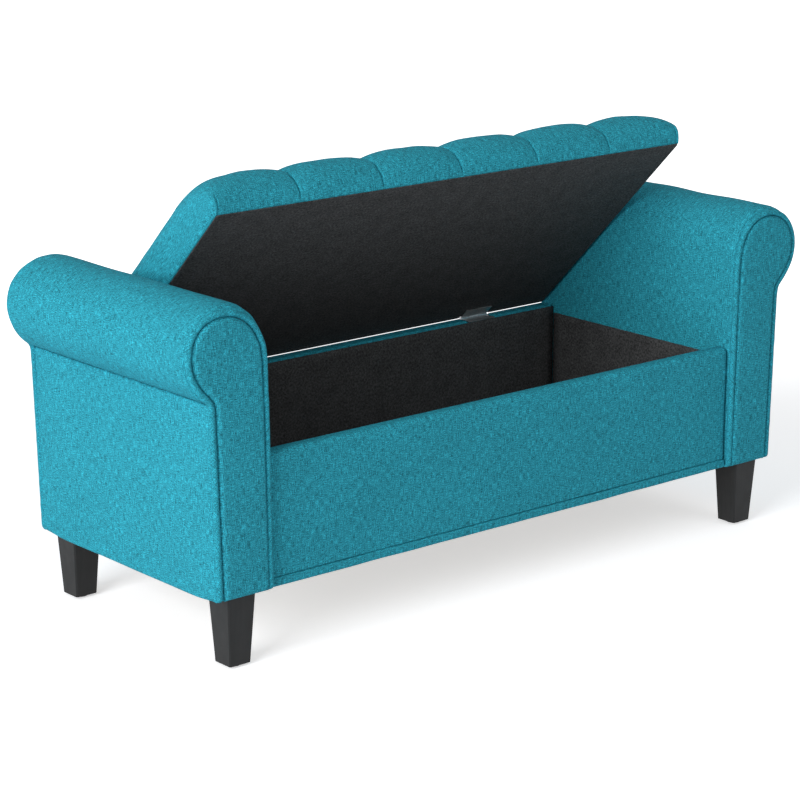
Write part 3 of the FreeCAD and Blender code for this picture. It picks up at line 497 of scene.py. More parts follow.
def facing_edge():
    """The facing's edge from the front: up the inside, over the roll, round the crease and down."""
    angles, reach = np.array(FACING_ROLL, dtype=float).T
    turn = np.arange(angles[0], angles[-1] - 1, -2)
    radius = np.interp(-turn, -angles, reach)
    middle = np.array((ROLL_ACROSS, ROLL_HEIGHT))
    ways = np.stack([np.cos(np.radians(turn)), np.sin(np.radians(turn))], axis=1)
    roll = middle + radius[:, None] * ways
    line = np.concatenate([
        np.array(FACING_INSIDE) + (0, ARM_BOTTOM - FACING_DROP),
        roll,
        np.array(FACING_CREASE) + middle,
        [(FACING_FOOT, ARM_BOTTOM - FACING_DROP)],
    ])
    return softened(evened(line, 2.0), 12)


EDGE = facing_edge()


def on_upper_roll(heights):
    """How far up the roll a height is, from 0 at its middle to 1 near its top."""
    return smooth_step((heights - ROLL_HEIGHT) / 50)


def end_fall(outer, out):
    """How far the roll's cloth falls in at its ends, to meet the outer side of the piping."""
    meet = EDGE + normals_along(EDGE) * (WELT_OFFSET + WELT_COVERS)
    falls = []
    for point, way in zip(outer, out):
        gaps = meet - point
        nearest = gaps[np.argmin((gaps ** 2).sum(axis=1))]
        falls.append(max(-nearest @ way, WRAP_LEAST_FALL))
    return np.array(falls)


def roll_cover(side, sign):
    """Cloth up the arm's inside and over its roll, rounded in at its ends, tucked into the crease."""
    middle = (ROLL_ACROSS, ROLL_HEIGHT)
    crease = math.degrees(math.atan2(neck_height() - ROLL_HEIGHT, NECK_HALF - ROLL_ACROSS))
    turn = WRAP_FOOT_ROLL
    outer = joined(
        arc_points((ARM_INNER + turn, ARM_BOTTOM + turn), turn, 270, 180, 1.0),
        line_points((ARM_INNER, ARM_BOTTOM + turn), (ARM_INNER, ROLL_HEIGHT), 2.2),
        arc_points(middle, ROLL_RADIUS, 180, crease - TUCK_ANGLE, 1.6),
    )
    along = lengths_along(outer)
    out = normals_along(outer)
    angle = np.degrees(np.arctan2(outer[:, 1] - ROLL_HEIGHT, outer[:, 0] - ROLL_ACROSS))
    tucked = (angle < crease) & (angle > -100) & (outer[:, 0] > ROLL_ACROSS)
    tuck = np.where(tucked, ((crease - angle) / TUCK_ANGLE) ** 2 * TUCK_DEPTH, 0)
    deep = end_fall(outer, out)
    deep[tucked] = deep[~tucked][-1]
    shorter = np.clip(deep / WRAP_FULL_FALL, WRAP_SHORTEST, 1)
    upper = on_upper_roll(outer[:, 1])
    reach = 1 - WELT_RECESS * 0.7 * upper / WRAP_END
    places = stations(-WRAP_END, WRAP_END, FINE_ENDS, 8)
    on_roll = smooth_step((outer[:, 1] - ROLL_HEIGHT + 60) / 60)
    lining_points = slice(None, None, -6)
    rings = []
    for place in places:
        to_end = WRAP_END - abs(place)
        length = WRAP_END_LENGTH * shorter if place < 0 else WRAP_REAR_LENGTH * shorter ** 2
        fall = tuck + deep * rounded_edge(np.full(len(outer), to_end) / length, 1)
        dots = 0.55 + 0.45 * np.cos(2 * math.pi * along / STITCH_PITCH)
        sewn = math.exp(-((to_end - STITCH_LINE) / STITCH_WIDTH) ** 2)
        fall += STITCH_DEPTH * dots * sewn * on_roll
        puckers = ripple(along, 0 * along, ROLL_PUCKER_LENGTH, 11 + sign)
        fading = math.exp(-to_end / ROLL_PUCKER_FADE)
        fall -= ROLL_PUCKER * puckers * on_roll * fading * min(to_end / 6, 1)
        rumples = ripple(along, place, ROLL_RUMPLE_LENGTH, 21 + sign)
        fall -= ROLL_RUMPLE * on_roll * rumples * smooth_step(to_end / 40)
        ring = outer - out * fall[:, None]
        under = (ring - out * WRAP_THICKNESS)[lining_points]
        ring = np.concatenate([ring, under])
        depth = place * np.concatenate([reach, reach[lining_points]])
        rings.append(np.stack([sign * ring[:, 0], depth, ring[:, 1]], axis=1))
    rings = np.array(rings)
    faces = tube_faces(*rings.shape[:2])
    around = np.concatenate([along, along[lining_points]])
    uvs = tube_places(places[:, None], around[None, :])
    piece = add_piece(f"roll_cloth_{side}", rings.reshape(-1, 3), faces, uvs, cloth, "base")
    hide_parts(f"arm_{side}_roll_cover")


OUTER_END = 229
OUTER_FOOT = 110.8
OUTER_SAG = 3.5
OUTER_SWELL = 1.9
OUTER_FOOT_ROUNDING = 6
OUTER_TOP_ROUNDING = 3.2
OUTER_END_ROUNDING = 5.5
OUTER_RUMPLE = 0.35
OUTER_RUMPLE_LENGTH = 130
OUTER_BACK = 6.5
OUTER_BACK_SHARE = 0.995
CREASE_GAP = 1.7


def outer_panel(side, sign):
    """Slightly swollen cloth on the arm's outer side, rounded under at its foot."""
    top = neck_height() - CREASE_GAP
    heights = stations(OUTER_FOOT, top, (0, 0.3, 0.8, 1.6, 2.8, 4.4, 6.5, 10, 15, 22), 10)
    places = stations(-OUTER_END, OUTER_END, (0, 0.3, 0.8, 1.6, 2.8, 4.4, 7, 12, 20), 12)
    up, along = np.meshgrid(heights, places, indexing="ij")
    share = (up - OUTER_FOOT) / (neck_height() - OUTER_FOOT)
    line = BASE_HALF + (NECK_HALF - BASE_HALF) * share
    to_end = OUTER_END - np.abs(along)
    swell = OUTER_SWELL * smooth_step((up - OUTER_FOOT) / 70) * smooth_step((top - up) / 45)
    swell = swell * smooth_step(to_end / 50)
    fall = rounded_edge(up - OUTER_FOOT, OUTER_FOOT_ROUNDING) * 0.9
    fall += rounded_edge(top - up, OUTER_TOP_ROUNDING)
    fall += rounded_edge(to_end, OUTER_END_ROUNDING)
    fall -= OUTER_RUMPLE * ripple(up, along, OUTER_RUMPLE_LENGTH, 31 + sign)
    across = line + swell - fall
    sag = OUTER_SAG * smooth_step(to_end / 60) * (1 - share) ** 2
    front = np.stack([sign * across, along, up - sag], axis=-1)
    behind = np.clip(up, OUTER_FOOT + 1, top - 1) - sag
    back = np.stack([sign * (line - OUTER_BACK), along * OUTER_BACK_SHARE, behind], axis=-1)
    points, faces, uvs = slab_from_grids(front, back, np.stack([along, up], axis=-1))
    piece = add_piece(f"outer_cloth_{side}", points, faces, uvs, cloth, "base")
    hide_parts(f"arm_{side}_outer_cover")


def facing_sides(heights):
    """The near and far sides of the facing at the given heights, its lower corners rounded."""
    peak = int(np.argmax(EDGE[:, 1]))
    near = np.interp(heights, EDGE[:peak + 1, 1], EDGE[:peak + 1, 0])
    far = np.interp(heights, EDGE[:peak - 1:-1, 1], EDGE[:peak - 1:-1, 0])
    corner = rounded_edge(heights - heights[0], FACING_CORNER)
    return near + corner, far - corner


def facing(side, sign, end_name, end):
    """A padded facing on an arm's end: soft edges, a low crown and small puckers round the roll."""
    peak = EDGE[:, 1].max()
    foot = ARM_BOTTOM - FACING_DROP + np.array((0, 0.3, 0.8, 1.6, 2.6, 3.8, 5.2, 7, 10, 15))
    straight = np.linspace(ARM_BOTTOM + 22, ROLL_HEIGHT - 96, 40)
    bend = np.linspace(ROLL_HEIGHT - 94, ROLL_HEIGHT, 48)
    turned = ROLL_HEIGHT + (peak - ROLL_HEIGHT) * np.sin(np.radians(np.linspace(0, 90, 48)[1:]))
    heights = np.concatenate([foot, straight, bend, turned])
    near, far = facing_sides(heights)
    steps = np.array((0, 0.3, 0.8, 1.6, 2.6, 3.8, 5.2, 7, 9, 12)) / 84
    shares = np.concatenate([steps, np.linspace(0.18, 0.82, 32), 1 - steps[::-1]])
    across = near[:, None] + (far - near)[:, None] * shares[None, :]
    up = np.broadcast_to(heights[:, None], across.shape)
    rim_turn = np.radians(np.linspace(0, 90, 220))
    rim_heights = np.concatenate([np.linspace(foot[0], ROLL_HEIGHT, 500),
                                  ROLL_HEIGHT + (peak - ROLL_HEIGHT) * np.sin(rim_turn)])
    rim_near, rim_far = facing_sides(rim_heights)
    base = np.linspace(rim_near[0], rim_far[0], 110)
    rim = np.concatenate([
        np.stack([rim_near, rim_heights], axis=1),
        np.stack([rim_far, rim_heights], axis=1),
        np.stack([base, np.full(len(base), foot[0])], axis=1),
    ])
    flat = np.stack([across, up], axis=-1).reshape(-1, 2)
    inward = np.array([np.min(np.hypot(rim[:, 0] - x, rim[:, 1] - z)) for x, z in flat])
    inward = inward.reshape(across.shape)
    inward[[0, -1], :] = 0
    inward[:, [0, -1]] = 0
    turn = np.arctan2(up - ROLL_HEIGHT, across - ROLL_ACROSS) * 60
    upper = smooth_step((up - ROLL_HEIGHT + 50) / 40)
    puckers = ripple(turn, 0 * turn, FACING_PUCKER_LENGTH, 41 + 3 * sign + end)
    puckers = puckers * np.exp(-inward / FACING_PUCKER_FADE) * np.clip(inward / 5, 0, 1)
    rumples = ripple(across, up, FACING_RUMPLE_LENGTH, 51 + sign + end) * np.clip(inward / 10, 0, 1)
    depth = FACING_FRONT - FACING_EDGE_DEPTH * rounded_edge(inward / FACING_EDGE_WIDTH, 1)
    depth = depth + FACING_CROWN * (1 - np.exp(-inward / FACING_CROWN_REACH))
    depth = depth + FACING_PUCKER * puckers * upper + FACING_RUMPLE * rumples
    front = np.stack([sign * across, end * depth, up], axis=-1)
    behind = np.full_like(across, end * (BODY_HALF - FACING_BACK))
    back = np.stack([sign * across, behind, up], axis=-1)
    points, faces, uvs = slab_from_grids(front, back, np.stack([across, up], axis=-1))
    piece = add_piece(f"facing_cloth_{side}_{end_name}", points, faces, uvs, cloth, "base")
    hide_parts(f"arm_{side}_{end_name}_facing")


def welt(side, sign, end_name, end):
    """Piping round a facing: cloth over a cord, a little uneven, bent under at its ends."""
    above = EDGE[:, 1] - EDGE[0, 1]
    inside = EDGE[:, 0] < ROLL_ACROSS
    offset = WELT_OFFSET - WELT_TIGHTER * inside * (1 - smooth_step(above / 250))
    offset -= WELT_INSIDE * inside * (1 - smooth_step((above - 300) / 50))
    line = EDGE + normals_along(EDGE) * offset[:, None]
    along = lengths_along(line)
    out = normals_along(line)
    turns = np.linspace(0, 2 * math.pi, WELT_SIDES, endpoint=False)
    uneven = ripple(along, 0 * along, WELT_UNEVEN_LENGTH, 61 + sign + 2 * end)
    reach = WELT_RADIUS + WELT_UNEVEN * uneven
    bent = rounded_edge(above, WELT_END_BEND) * WELT_END_SHARE
    depths = BODY_HALF - WELT_BACK - WELT_RECESS * on_upper_roll(EDGE[:, 1]) - bent
    rings = []
    for point, normal, size, depth in zip(line, out, reach, depths):
        flat = point + normal * (np.cos(turns) * size)[:, None]
        deep = end * (depth + np.sin(turns) * size)
        rings.append(np.stack([sign * flat[:, 0], deep, flat[:, 1]], axis=1))
    points = np.concatenate(rings)
    faces = tube_faces(len(line), WELT_SIDES)
    around = (turns * WELT_RADIUS)[None, :]
    uvs = tube_places(along[:, None] + around, around - along[:, None]) * WELT_WEAVE_SCALE
    piece = add_piece(f"piping_{side}_{end_name}", points, faces, uvs, cloth, "base")
    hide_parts(f"arm_{side}_{end_name}_welt")


for side, sign in SIDES:
    roll_cover(side, sign)
    outer_panel(side, sign)
    for end_name, end in ENDS:
        facing(side, sign, end_name, end)
        welt(side, sign, end_name, end)


# Front and back of the storage box

PANEL_FRONT_ROLL = 10
PANEL_BACK_ROLL = 3.5
PANEL_INNER_ROLL = 4
PANEL_FOOT_ROLL = 2.5
PANEL_SWELL = 1.5
PANEL_RUMPLE = 0.5
PANEL_RUMPLE_LENGTH = 160
PANEL_END_ROUNDING = 7.5
PANEL_END_SHARE = 0.85
HINGE_MARGIN = 0.8
HINGE_SPREAD = 3.2
HINGE_FROM = 199
KNUCKLE_ROOM = 4.6
LEAF_ROOM = 2.8
BAND_PROUD = 1
BAND_SOFT = 3
BAND_SAG = 0.35
BAND_SAG_LENGTH = 120
BAND_GAP = 0.6
PANEL_FINE = (0, 0.25, 0.7, 1.4, 2.4, 3.8, 5.6, 8, 12, 18)


def hinge_stations():
    """Closer stations at the sides of both hinges."""
    near = np.array((-4.5, -3.5, -2.5, -1.8, -1.2, -0.6, 0, 1, 3))
    return np.concatenate([middle + way * (HINGE_HALF + near)
                           for middle in (-HINGE_PLACE, HINGE_PLACE) for way in (-1, 1)])


def pressed_by_hinge(across, depth, height):
    """Heights of the back panel's padding where the hinges press it down."""
    beside = np.abs(np.abs(across) - HINGE_PLACE) - HINGE_HALF
    near = 1 - smooth_step((beside - HINGE_MARGIN) / HINGE_SPREAD)
    room = np.where(np.abs(depth - HINGE_ALONG) < KNUCKLE_ROOM, KNUCKLE_ROOM, LEAF_ROOM)
    pressed = height + (np.minimum(HINGE_HEIGHT - room, height) - height) * near
    return np.where(depth > HINGE_FROM, np.minimum(height, pressed), height)


def panel_cloth(name, end, foot, replaced):
    """Padded cloth on a panel's face, over its top edge and a little way down its inside."""
    face_roll = PANEL_FRONT_ROLL if end < 0 else PANEL_BACK_ROLL
    inner_roll, foot_roll = PANEL_INNER_ROLL, PANEL_FOOT_ROLL
    top_from, top_to = -(PANEL_FACE - face_roll), -(PANEL_BOARD_BACK + inner_roll)
    outer = joined(
        arc_points((-(PANEL_FACE - foot_roll), foot + foot_roll), foot_roll, 270, 180, 0.6),
        line_points((-PANEL_FACE, foot + foot_roll), (-PANEL_FACE, PANEL_TOP - face_roll), 5),
        arc_points((top_from, PANEL_TOP - face_roll), face_roll, 180, 90, 1.2),
        line_points((top_from, PANEL_TOP), (top_to, PANEL_TOP), 2),
        arc_points((top_to, PANEL_TOP - inner_roll), inner_roll, 90, 0, 0.8),
        line_points((-PANEL_BOARD_BACK, PANEL_TOP - inner_roll), (-PANEL_BOARD_BACK, PANEL_UNDER), 2),
    )
    inner = joined(
        line_points((-PANEL_BOARD_BACK - 0.5, PANEL_UNDER), (-PANEL_BOARD_FACE, PANEL_UNDER), 8),
        line_points((-PANEL_BOARD_FACE, PANEL_UNDER), (-PANEL_BOARD_FACE, foot), 60),
    )
    along = lengths_along(outer)
    out = normals_along(outer)
    places = stations(-PANEL_HALF, PANEL_HALF, PANEL_FINE, 12)
    if end > 0:
        places = np.unique(np.round(np.concatenate([places, hinge_stations()]), 3))
    on_face = smooth_step((outer[:, 1] - foot) / 30) * smooth_step((PANEL_TOP - 12 - outer[:, 1]) / 45)
    on_face = on_face * (outer[:, 0] < -PANEL_FACE + 1)
    rings = []
    for place in places:
        to_end = PANEL_HALF - abs(place)
        fall = rounded_edge(np.full(len(outer), to_end), PANEL_END_ROUNDING) * PANEL_END_SHARE
        rumples = ripple(along, place, PANEL_RUMPLE_LENGTH, 71 + end)
        lift = PANEL_SWELL * smooth_step(to_end / 60) + PANEL_RUMPLE * rumples
        fall = fall - on_face * lift
        ring = np.concatenate([outer - out * fall[:, None], inner])
        depth, height = -end * ring[:, 0], ring[:, 1]
        if end > 0:
            height = pressed_by_hinge(place, depth, height)
        rings.append(np.stack([np.full(len(ring), place), depth, height], axis=1))
    rings = np.array(rings)
    faces = tube_faces(*rings.shape[:2])
    around = np.concatenate([along, along[-1] + lengths_along(inner)])
    uvs = tube_places(places[:, None], around[None, :])
    piece = add_piece(name, rings.reshape(-1, 3), faces, uvs, cloth, "base")
    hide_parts(replaced)


def front_band():
    """The narrow sewn band along the front panel's foot."""
    face = PANEL_FACE + BAND_PROUD
    soft = BAND_SOFT
    loop = joined(
        arc_points((-(face - soft), BAND_LOW + soft), soft, 270, 180, 0.6),
        line_points((-face, BAND_LOW + soft), (-face, BAND_TOP - soft), 2),
        arc_points((-(face - soft), BAND_TOP - soft), soft, 180, 90, 0.6),
        line_points((-(face - soft), BAND_TOP), (-PANEL_BOARD_FACE, BAND_TOP), 3),
        line_points((-PANEL_BOARD_FACE, BAND_TOP), (-PANEL_BOARD_FACE, BAND_LOW), 6),
        line_points((-PANEL_BOARD_FACE, BAND_LOW), (-(face - soft), BAND_LOW), 3),
    )[:-1]
    along = lengths_along(loop)
    places = stations(-PANEL_HALF, PANEL_HALF, PANEL_FINE, 10)
    middle = loop.mean(axis=0)
    rings = []
    for place in places:
        to_end = PANEL_HALF - abs(place)
        shrink = 1 - rounded_edge(to_end, 4) / 12
        ring = middle + (loop - middle) * shrink
        sag = BAND_SAG * ripple(np.full(len(loop), place), 0 * along, BAND_SAG_LENGTH, 81)
        rings.append(np.stack([np.full(len(loop), place), ring[:, 0], ring[:, 1] + sag], axis=1))
    points = np.concatenate(rings)
    faces = tube_faces(len(places), len(loop))
    uvs = tube_places(places[:, None], along[None, :])
    piece = add_piece("front_band_cloth", points, faces, uvs, cloth, "base")
    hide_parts("front_band")


panel_cloth("front_cloth", -1, BAND_TOP + BAND_GAP, "front_cover")
panel_cloth("back_cloth", 1, ARM_BOTTOM, "back_cover")
front_band()


# Linings

LINING = 1.5
SLACK_LENGTH = 140
SLACK_EDGE = 30
SLACK_MOST = 1.2


def lining_sheet(name, corner, first, second, inward, seed, replaced):
    """A stretched lining sheet from a corner along two ways, a little slack between its edges."""
    corner, first, second, inward = (np.array(way, dtype=float)
                                     for way in (corner, first, second, inward))
    width, length = np.linalg.norm(first), np.linalg.norm(second)
    wide, tall = np.meshgrid(np.linspace(0, 1, max(int(width / 14), 8)),
                             np.linspace(0, 1, max(int(length / 10), 8)), indexing="ij")
    edge = np.minimum(np.minimum(wide, 1 - wide) * width, np.minimum(tall, 1 - tall) * length)
    rumples = ripple(wide * width, tall * length, SLACK_LENGTH, seed)
    slack = (0.5 + 0.5 * rumples) * smooth_step(edge / SLACK_EDGE)
    base = corner + wide[..., None] * first + tall[..., None] * second
    front = base + inward * (LINING + np.clip(slack, 0, SLACK_MOST))[..., None]
    uvs = np.stack([wide * width, tall * length], axis=-1)
    points, faces, places = slab_from_grids(front, base, uvs)
    piece = add_piece(name, points, faces, places, felt, "base")
    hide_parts(replaced)


LINING_FOOT = 147.8
PANEL_LINING_TOP = 316
SIDE_LINING_TOP = 304
STORAGE_BOTTOM = 146
LINING_ALONG = 201.7
LINING_HALF = 484
SIDE_LINING_ACROSS = 486.7
SIDE_LINING_NEAR = -199.9
SIDE_LINING_LENGTH = 399.8
BOTTOM_LINING_CORNER = (-486, -201)
BOTTOM_LINING_WIDTH = 972
BOTTOM_LINING_LENGTH = 402
panel_rise = (0, 0, PANEL_LINING_TOP - LINING_FOOT)
side_rise = (0, 0, SIDE_LINING_TOP - LINING_FOOT)
lining_sheet("front_lining_sheet", (-LINING_HALF, -LINING_ALONG, LINING_FOOT), (2 * LINING_HALF, 0, 0),
             panel_rise, (0, 1, 0), 91, "front_lining")
lining_sheet("back_lining_sheet", (-LINING_HALF, LINING_ALONG, LINING_FOOT), (2 * LINING_HALF, 0, 0),
             panel_rise, (0, -1, 0), 92, "back_lining")
for side, sign in SIDES:
    corner = (sign * SIDE_LINING_ACROSS, SIDE_LINING_NEAR, LINING_FOOT)
    lining_sheet(f"side_lining_sheet_{side}", corner, (0, SIDE_LINING_LENGTH, 0), side_rise,
                 (-sign, 0, 0), 93 + sign, f"arm_{side}_lining")
lining_sheet("bottom_lining_sheet", (*BOTTOM_LINING_CORNER, STORAGE_BOTTOM), (BOTTOM_LINING_WIDTH, 0, 0),
             (0, BOTTOM_LINING_LENGTH, 0), (0, 0, 1), 96, "bottom_lining")


# Lid

LID_FOOT = 4.1
LID_REACH = 465
LID_BACK = 0.5
LID_HALF = 480
LID_TIP = 485.2
LID_MIDDLE = (LID_REACH + LID_BACK) / 2
FRONT_SWELL = 14
SWELL_HEIGHT = 36
CROWN = 95
ROW_MIDDLE = 372.1
ROW_HALF = (ROW_MIDDLE - LID_MIDDLE) / 2
SEAM_DROP = 14
PITCH = 160.5
OUTER_PLEAT = 2
PLEAT_TOP = 10.5
PLEAT_FRONT = 5
PLEAT_SPREAD = 3
CREASE = 3.6
CREASE_WIDTH = 1.5
SIDE_ROLL = 62
SIDE_FALL = 46
PLAN_CORNER = 7
SIDE_SEAM = 0
SIDE_DART = 475.5
DART_HEIGHT = 44
DART_DEPTH = 2.2
SIDE_LIFT = 14
FRONT_BOXINESS = 0.625
CORNER_BOXINESS = 0.92
ROW_PLEAT_EASE = 0.35
PLEATED_HALF = 405
TIP_FROM = 412
PLAIN_FROM = 380
PLAIN_BLEND = 70
DART_WIDTH = 1.4
# Depth, length and seed of the cover's uneven places
LID_RUMPLES = ((0.6, 120, 101), (0.35, 42, 102))


def opened(across, ahead, above):
    """Points of the shut lid, ahead of and above its hinge axis, with the lid turned open."""
    cosine, sine = math.cos(OPEN_ANGLE), math.sin(OPEN_ANGLE)
    along = HINGE_ALONG - ahead * cosine + above * sine
    up = HINGE_HEIGHT + ahead * sine + above * cosine
    return np.stack(np.broadcast_arrays(across, along, up), axis=-1)


def biscuit_profile(seam, boxiness):
    """The lid's section through a biscuit, front to middle, and the depth of a pleat along it."""
    swollen = LID_REACH + FRONT_SWELL
    rise = np.linspace(0, 1, 14)
    low = np.stack([
        swollen - FRONT_SWELL * (1 - rise) ** 2,
        LID_FOOT + (SWELL_HEIGHT - LID_FOOT) * rise,
    ], axis=1)
    turn = np.radians(np.linspace(0, 90, 40))
    reach = swollen - ROW_MIDDLE
    round_front = np.stack([
        ROW_MIDDLE + reach * np.clip(np.cos(turn), 0, 1) ** boxiness,
        SWELL_HEIGHT + (CROWN - SWELL_HEIGHT) * np.sin(turn),
    ], axis=1)
    ahead = np.linspace(ROW_MIDDLE, LID_MIDDLE, 64)
    row = np.minimum(np.abs(ahead - ROW_MIDDLE), np.abs(ahead - LID_MIDDLE)) / ROW_HALF
    seam_near = np.abs(ahead - (ROW_MIDDLE + LID_MIDDLE) / 2)
    top = CROWN - seam * (SEAM_DROP * row ** 2 + CREASE * np.exp(-(seam_near / CREASE_WIDTH) ** 2))
    crown = np.stack([ahead, top], axis=1)
    half = joined(low, round_front, crown)
    depth = joined(
        np.stack([rise * 0, PLEAT_FRONT * rise], axis=1),
        np.stack([turn * 0, PLEAT_FRONT + (PLEAT_TOP - PLEAT_FRONT) * np.sin(turn)], axis=1),
        np.stack([row * 0, PLEAT_TOP * (1 - ROW_PLEAT_EASE * row ** 2)], axis=1),
    )[:, 1]
    return half, depth


def lid_stations():
    """Places across the lid: close at the pleats and at the rounded sides."""
    beside = np.array((0, 0.5, 1, 1.6, 2.4, 3.4, 5, 7.5, 11, 16, 23, 32, 43, 55, 68, 81))
    places = [pleat * PITCH + way * beside
              for pleat in range(-OUTER_PLEAT, OUTER_PLEAT + 1) for way in (-1, 1)]
    turn = np.radians(np.linspace(0, 90, 26))
    tips = TIP_FROM + (LID_TIP - TIP_FROM) * np.sin(turn)
    darts = SIDE_DART + np.array((-3, -2, -1.3, -0.7, 0, 0.7, 1.3, 2, 3))
    return np.unique(np.round(np.concatenate(places + [tips, -tips, darts, -darts]), 4))


def lid_cloth():
    """The tufted cover: biscuits drawn in at the pleats, a soft front, and plain rounded sides."""
    half, half_depth = biscuit_profile(1, FRONT_BOXINESS)
    side_half = biscuit_profile(SIDE_SEAM, CORNER_BOXINESS)[0]
    profile, side_profile = (np.concatenate([line, line[::-1][1:] * (-1, 1) + (2 * LID_MIDDLE, 0)])
                             for line in (half, side_half))
    pleat = np.concatenate([half_depth, half_depth[::-1][1:]])
    out = -normals_along(profile)
    along = lengths_along(profile)
    places = lid_stations()
    count = len(profile)
    share = np.linspace(0, 1, count)
    dart = smooth_step((DART_HEIGHT - profile[:, 1]) / 16) * smooth_step((profile[:, 1] - LID_FOOT) / 8)
    rings, top_line = [], []
    for place in places:
        far = abs(place)
        cell = abs(place / PITCH - round(place / PITCH)) if far <= PLEATED_HALF else 0.5
        beside = cell * PITCH
        draw = (1 - 2 * cell) ** PLEAT_SPREAD
        inset = pleat * draw
        if far <= PLEATED_HALF:
            creased = math.exp(-(beside / CREASE_WIDTH) ** 2)
            inset = inset + CREASE * np.clip(pleat / 1.5, 0, 1) * creased
        wander = sum(deep * ripple(along, place, length, seed) for deep, length, seed in LID_RUMPLES)
        inset = inset - wander * np.clip(pleat / PLEAT_FRONT, 0, 1)
        inset = inset + DART_DEPTH * dart * math.exp(-((far - SIDE_DART) / DART_WIDTH) ** 2)
        plain = smooth_step((far - PLAIN_FROM) / PLAIN_BLEND)
        ring = profile * (1 - plain) + side_profile * plain - out * inset[:, None]
        turned = np.clip((far - LID_TIP + SIDE_ROLL) / SIDE_ROLL, 0, 1)
        fall = SIDE_FALL * (1 - math.sqrt(1 - turned ** 2))
        corner = np.clip((far - LID_TIP + PLAN_CORNER) / PLAN_CORNER, 0, 1)
        pulled = PLAN_CORNER * (1 - math.sqrt(1 - corner ** 2))
        lifted = max(far - LID_HALF, 0) / (LID_TIP - LID_HALF)
        foot = LID_FOOT + SIDE_LIFT * lifted ** 1.5
        scale = (CROWN - fall - foot) / (CROWN - LID_FOOT)
        narrow = 1 - pulled / (LID_REACH - LID_MIDDLE)
        ahead = LID_MIDDLE + (ring[:, 0] - LID_MIDDLE) * narrow
        above = foot + (ring[:, 1] - LID_FOOT) * scale
        under = np.stack([ahead[0] + (ahead[-1] - ahead[0]) * share, np.full(count, foot)], axis=1)
        loop = np.concatenate([np.stack([ahead, above], axis=1), under[::-1]])
        rings.append(opened(np.full(len(loop), place), loop[:, 0], loop[:, 1]))
        top_line.append((place, above[count // 4]))
    rings = np.array(rings)
    size = 2 * count
    faces = grid_faces(len(places), size, wrap=True)
    for start in (0, (len(places) - 1) * size):
        for index in range(count - 1):
            below = start + size - 1 - index
            faces.append((start + index, start + index + 1, below - 1, below))
    wide = lengths_along(np.array(top_line))
    around = np.concatenate([along, along[::-1]])
    wide, around = np.meshgrid(wide, around, indexing="ij")
    for ring, way in ((0, -1), (-1, 1)):
        drop = np.linalg.norm(rings[ring, :count] - rings[ring, count:][::-1], axis=1)
        wide[ring, count:] += way * drop[::-1]
    uvs = np.stack([wide, around], axis=-1).reshape(-1, 2)
    piece = add_piece("lid_cloth", rings.reshape(-1, 3), faces, uvs, cloth, "lid")
    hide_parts("lid_cover")


LINING_NOTCH = 4.2
LINING_NOTCH_FADE = 20
LINING_CORNER = 4
LINING_UNDER = 2.3
LINING_UPPER = 3.8
HEM = 8
HEM_DEPTH = 0.7
HEM_WIDTH = 0.8
HEM_STEP = 0.25
NEAR_DIP = 0.9
NEAR_DIP_REACH = 7
LID_SLACK_LENGTH = 170


def lid_lining():
    """The black sheet under the lid, its turned edge a little thicker and cut back at the hinges."""
    near, far = LID_BACK + 0.5, LID_REACH - 1
    half = LID_HALF - 1
    fine = (0, 0.5, 1.3, 2.4, 3.6, 5, 6.5, 7.4, 8, 8.6, 9.6, 12, 16, 24)
    ahead = stations(near, far, fine, 12)
    shares = stations(-1, 1, tuple(step / half for step in fine), 12 / half)
    shares = np.unique(np.round(np.concatenate([shares, hinge_stations() / half]), 5))
    to_end = np.minimum(ahead - near, far - ahead)
    width = half - rounded_edge(to_end, LINING_CORNER)
    across = width[:, None] * shares[None, :]
    beside = np.abs(np.abs(across) - HINGE_PLACE) - HINGE_HALF
    notch = 1 - smooth_step((beside - HINGE_MARGIN) / 3)
    notch = notch * np.clip(1 - (ahead[:, None] - near) / LINING_NOTCH_FADE, 0, 1)
    ahead_grid = ahead[:, None] + LINING_NOTCH * notch
    edge = np.minimum(to_end[:, None], width[:, None] - np.abs(across))
    groove = HEM_DEPTH * np.exp(-((edge - HEM) / HEM_WIDTH) ** 2)
    rumples = ripple(across, ahead_grid, LID_SLACK_LENGTH, 111)
    slack = np.clip(0.4 + 0.4 * rumples, 0, 1) * smooth_step((edge - HEM - 1) / SLACK_EDGE)
    low = LINING_UNDER + np.clip(groove + HEM_STEP * (edge > HEM + 0.2) + slack * 0.8, 0, 1.3)
    low = low - NEAR_DIP * (1 - notch) * np.exp(-(ahead_grid - near) / NEAR_DIP_REACH)
    front = opened(across, ahead_grid, low)
    back = opened(across, ahead_grid, np.full_like(across, LINING_UPPER))
    points, faces, uvs = slab_from_grids(front, back, np.stack([across, ahead_grid], axis=-1))
    piece = add_piece("lid_lining_sheet", points, faces, uvs, felt, "lid")
    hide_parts("lid_lining")


lid_cloth()
lid_lining()


# Floor, light and camera, in metres

FLOOR_REACH = 40
FLOOR_COLOUR = (0.84, 0.86, 0.89, 1)
FLOOR_WHITE_FROM, FLOOR_WHITE_TO = 1.0, 2.4
FLOOR_GLOW_NEAR, FLOOR_GLOW_FAR = 0.53, 1.0
SKY_STRENGTH = 0.37
WHITE = (1, 1, 1, 1)
KEY_POWER = 385
FILL_POWER = 48
LENS = 121.06
EYE = (-2.7539, -3.2315, 1.4157)
LOOKING_DOWN = 15.177
LOOKING_ACROSS = -40.141


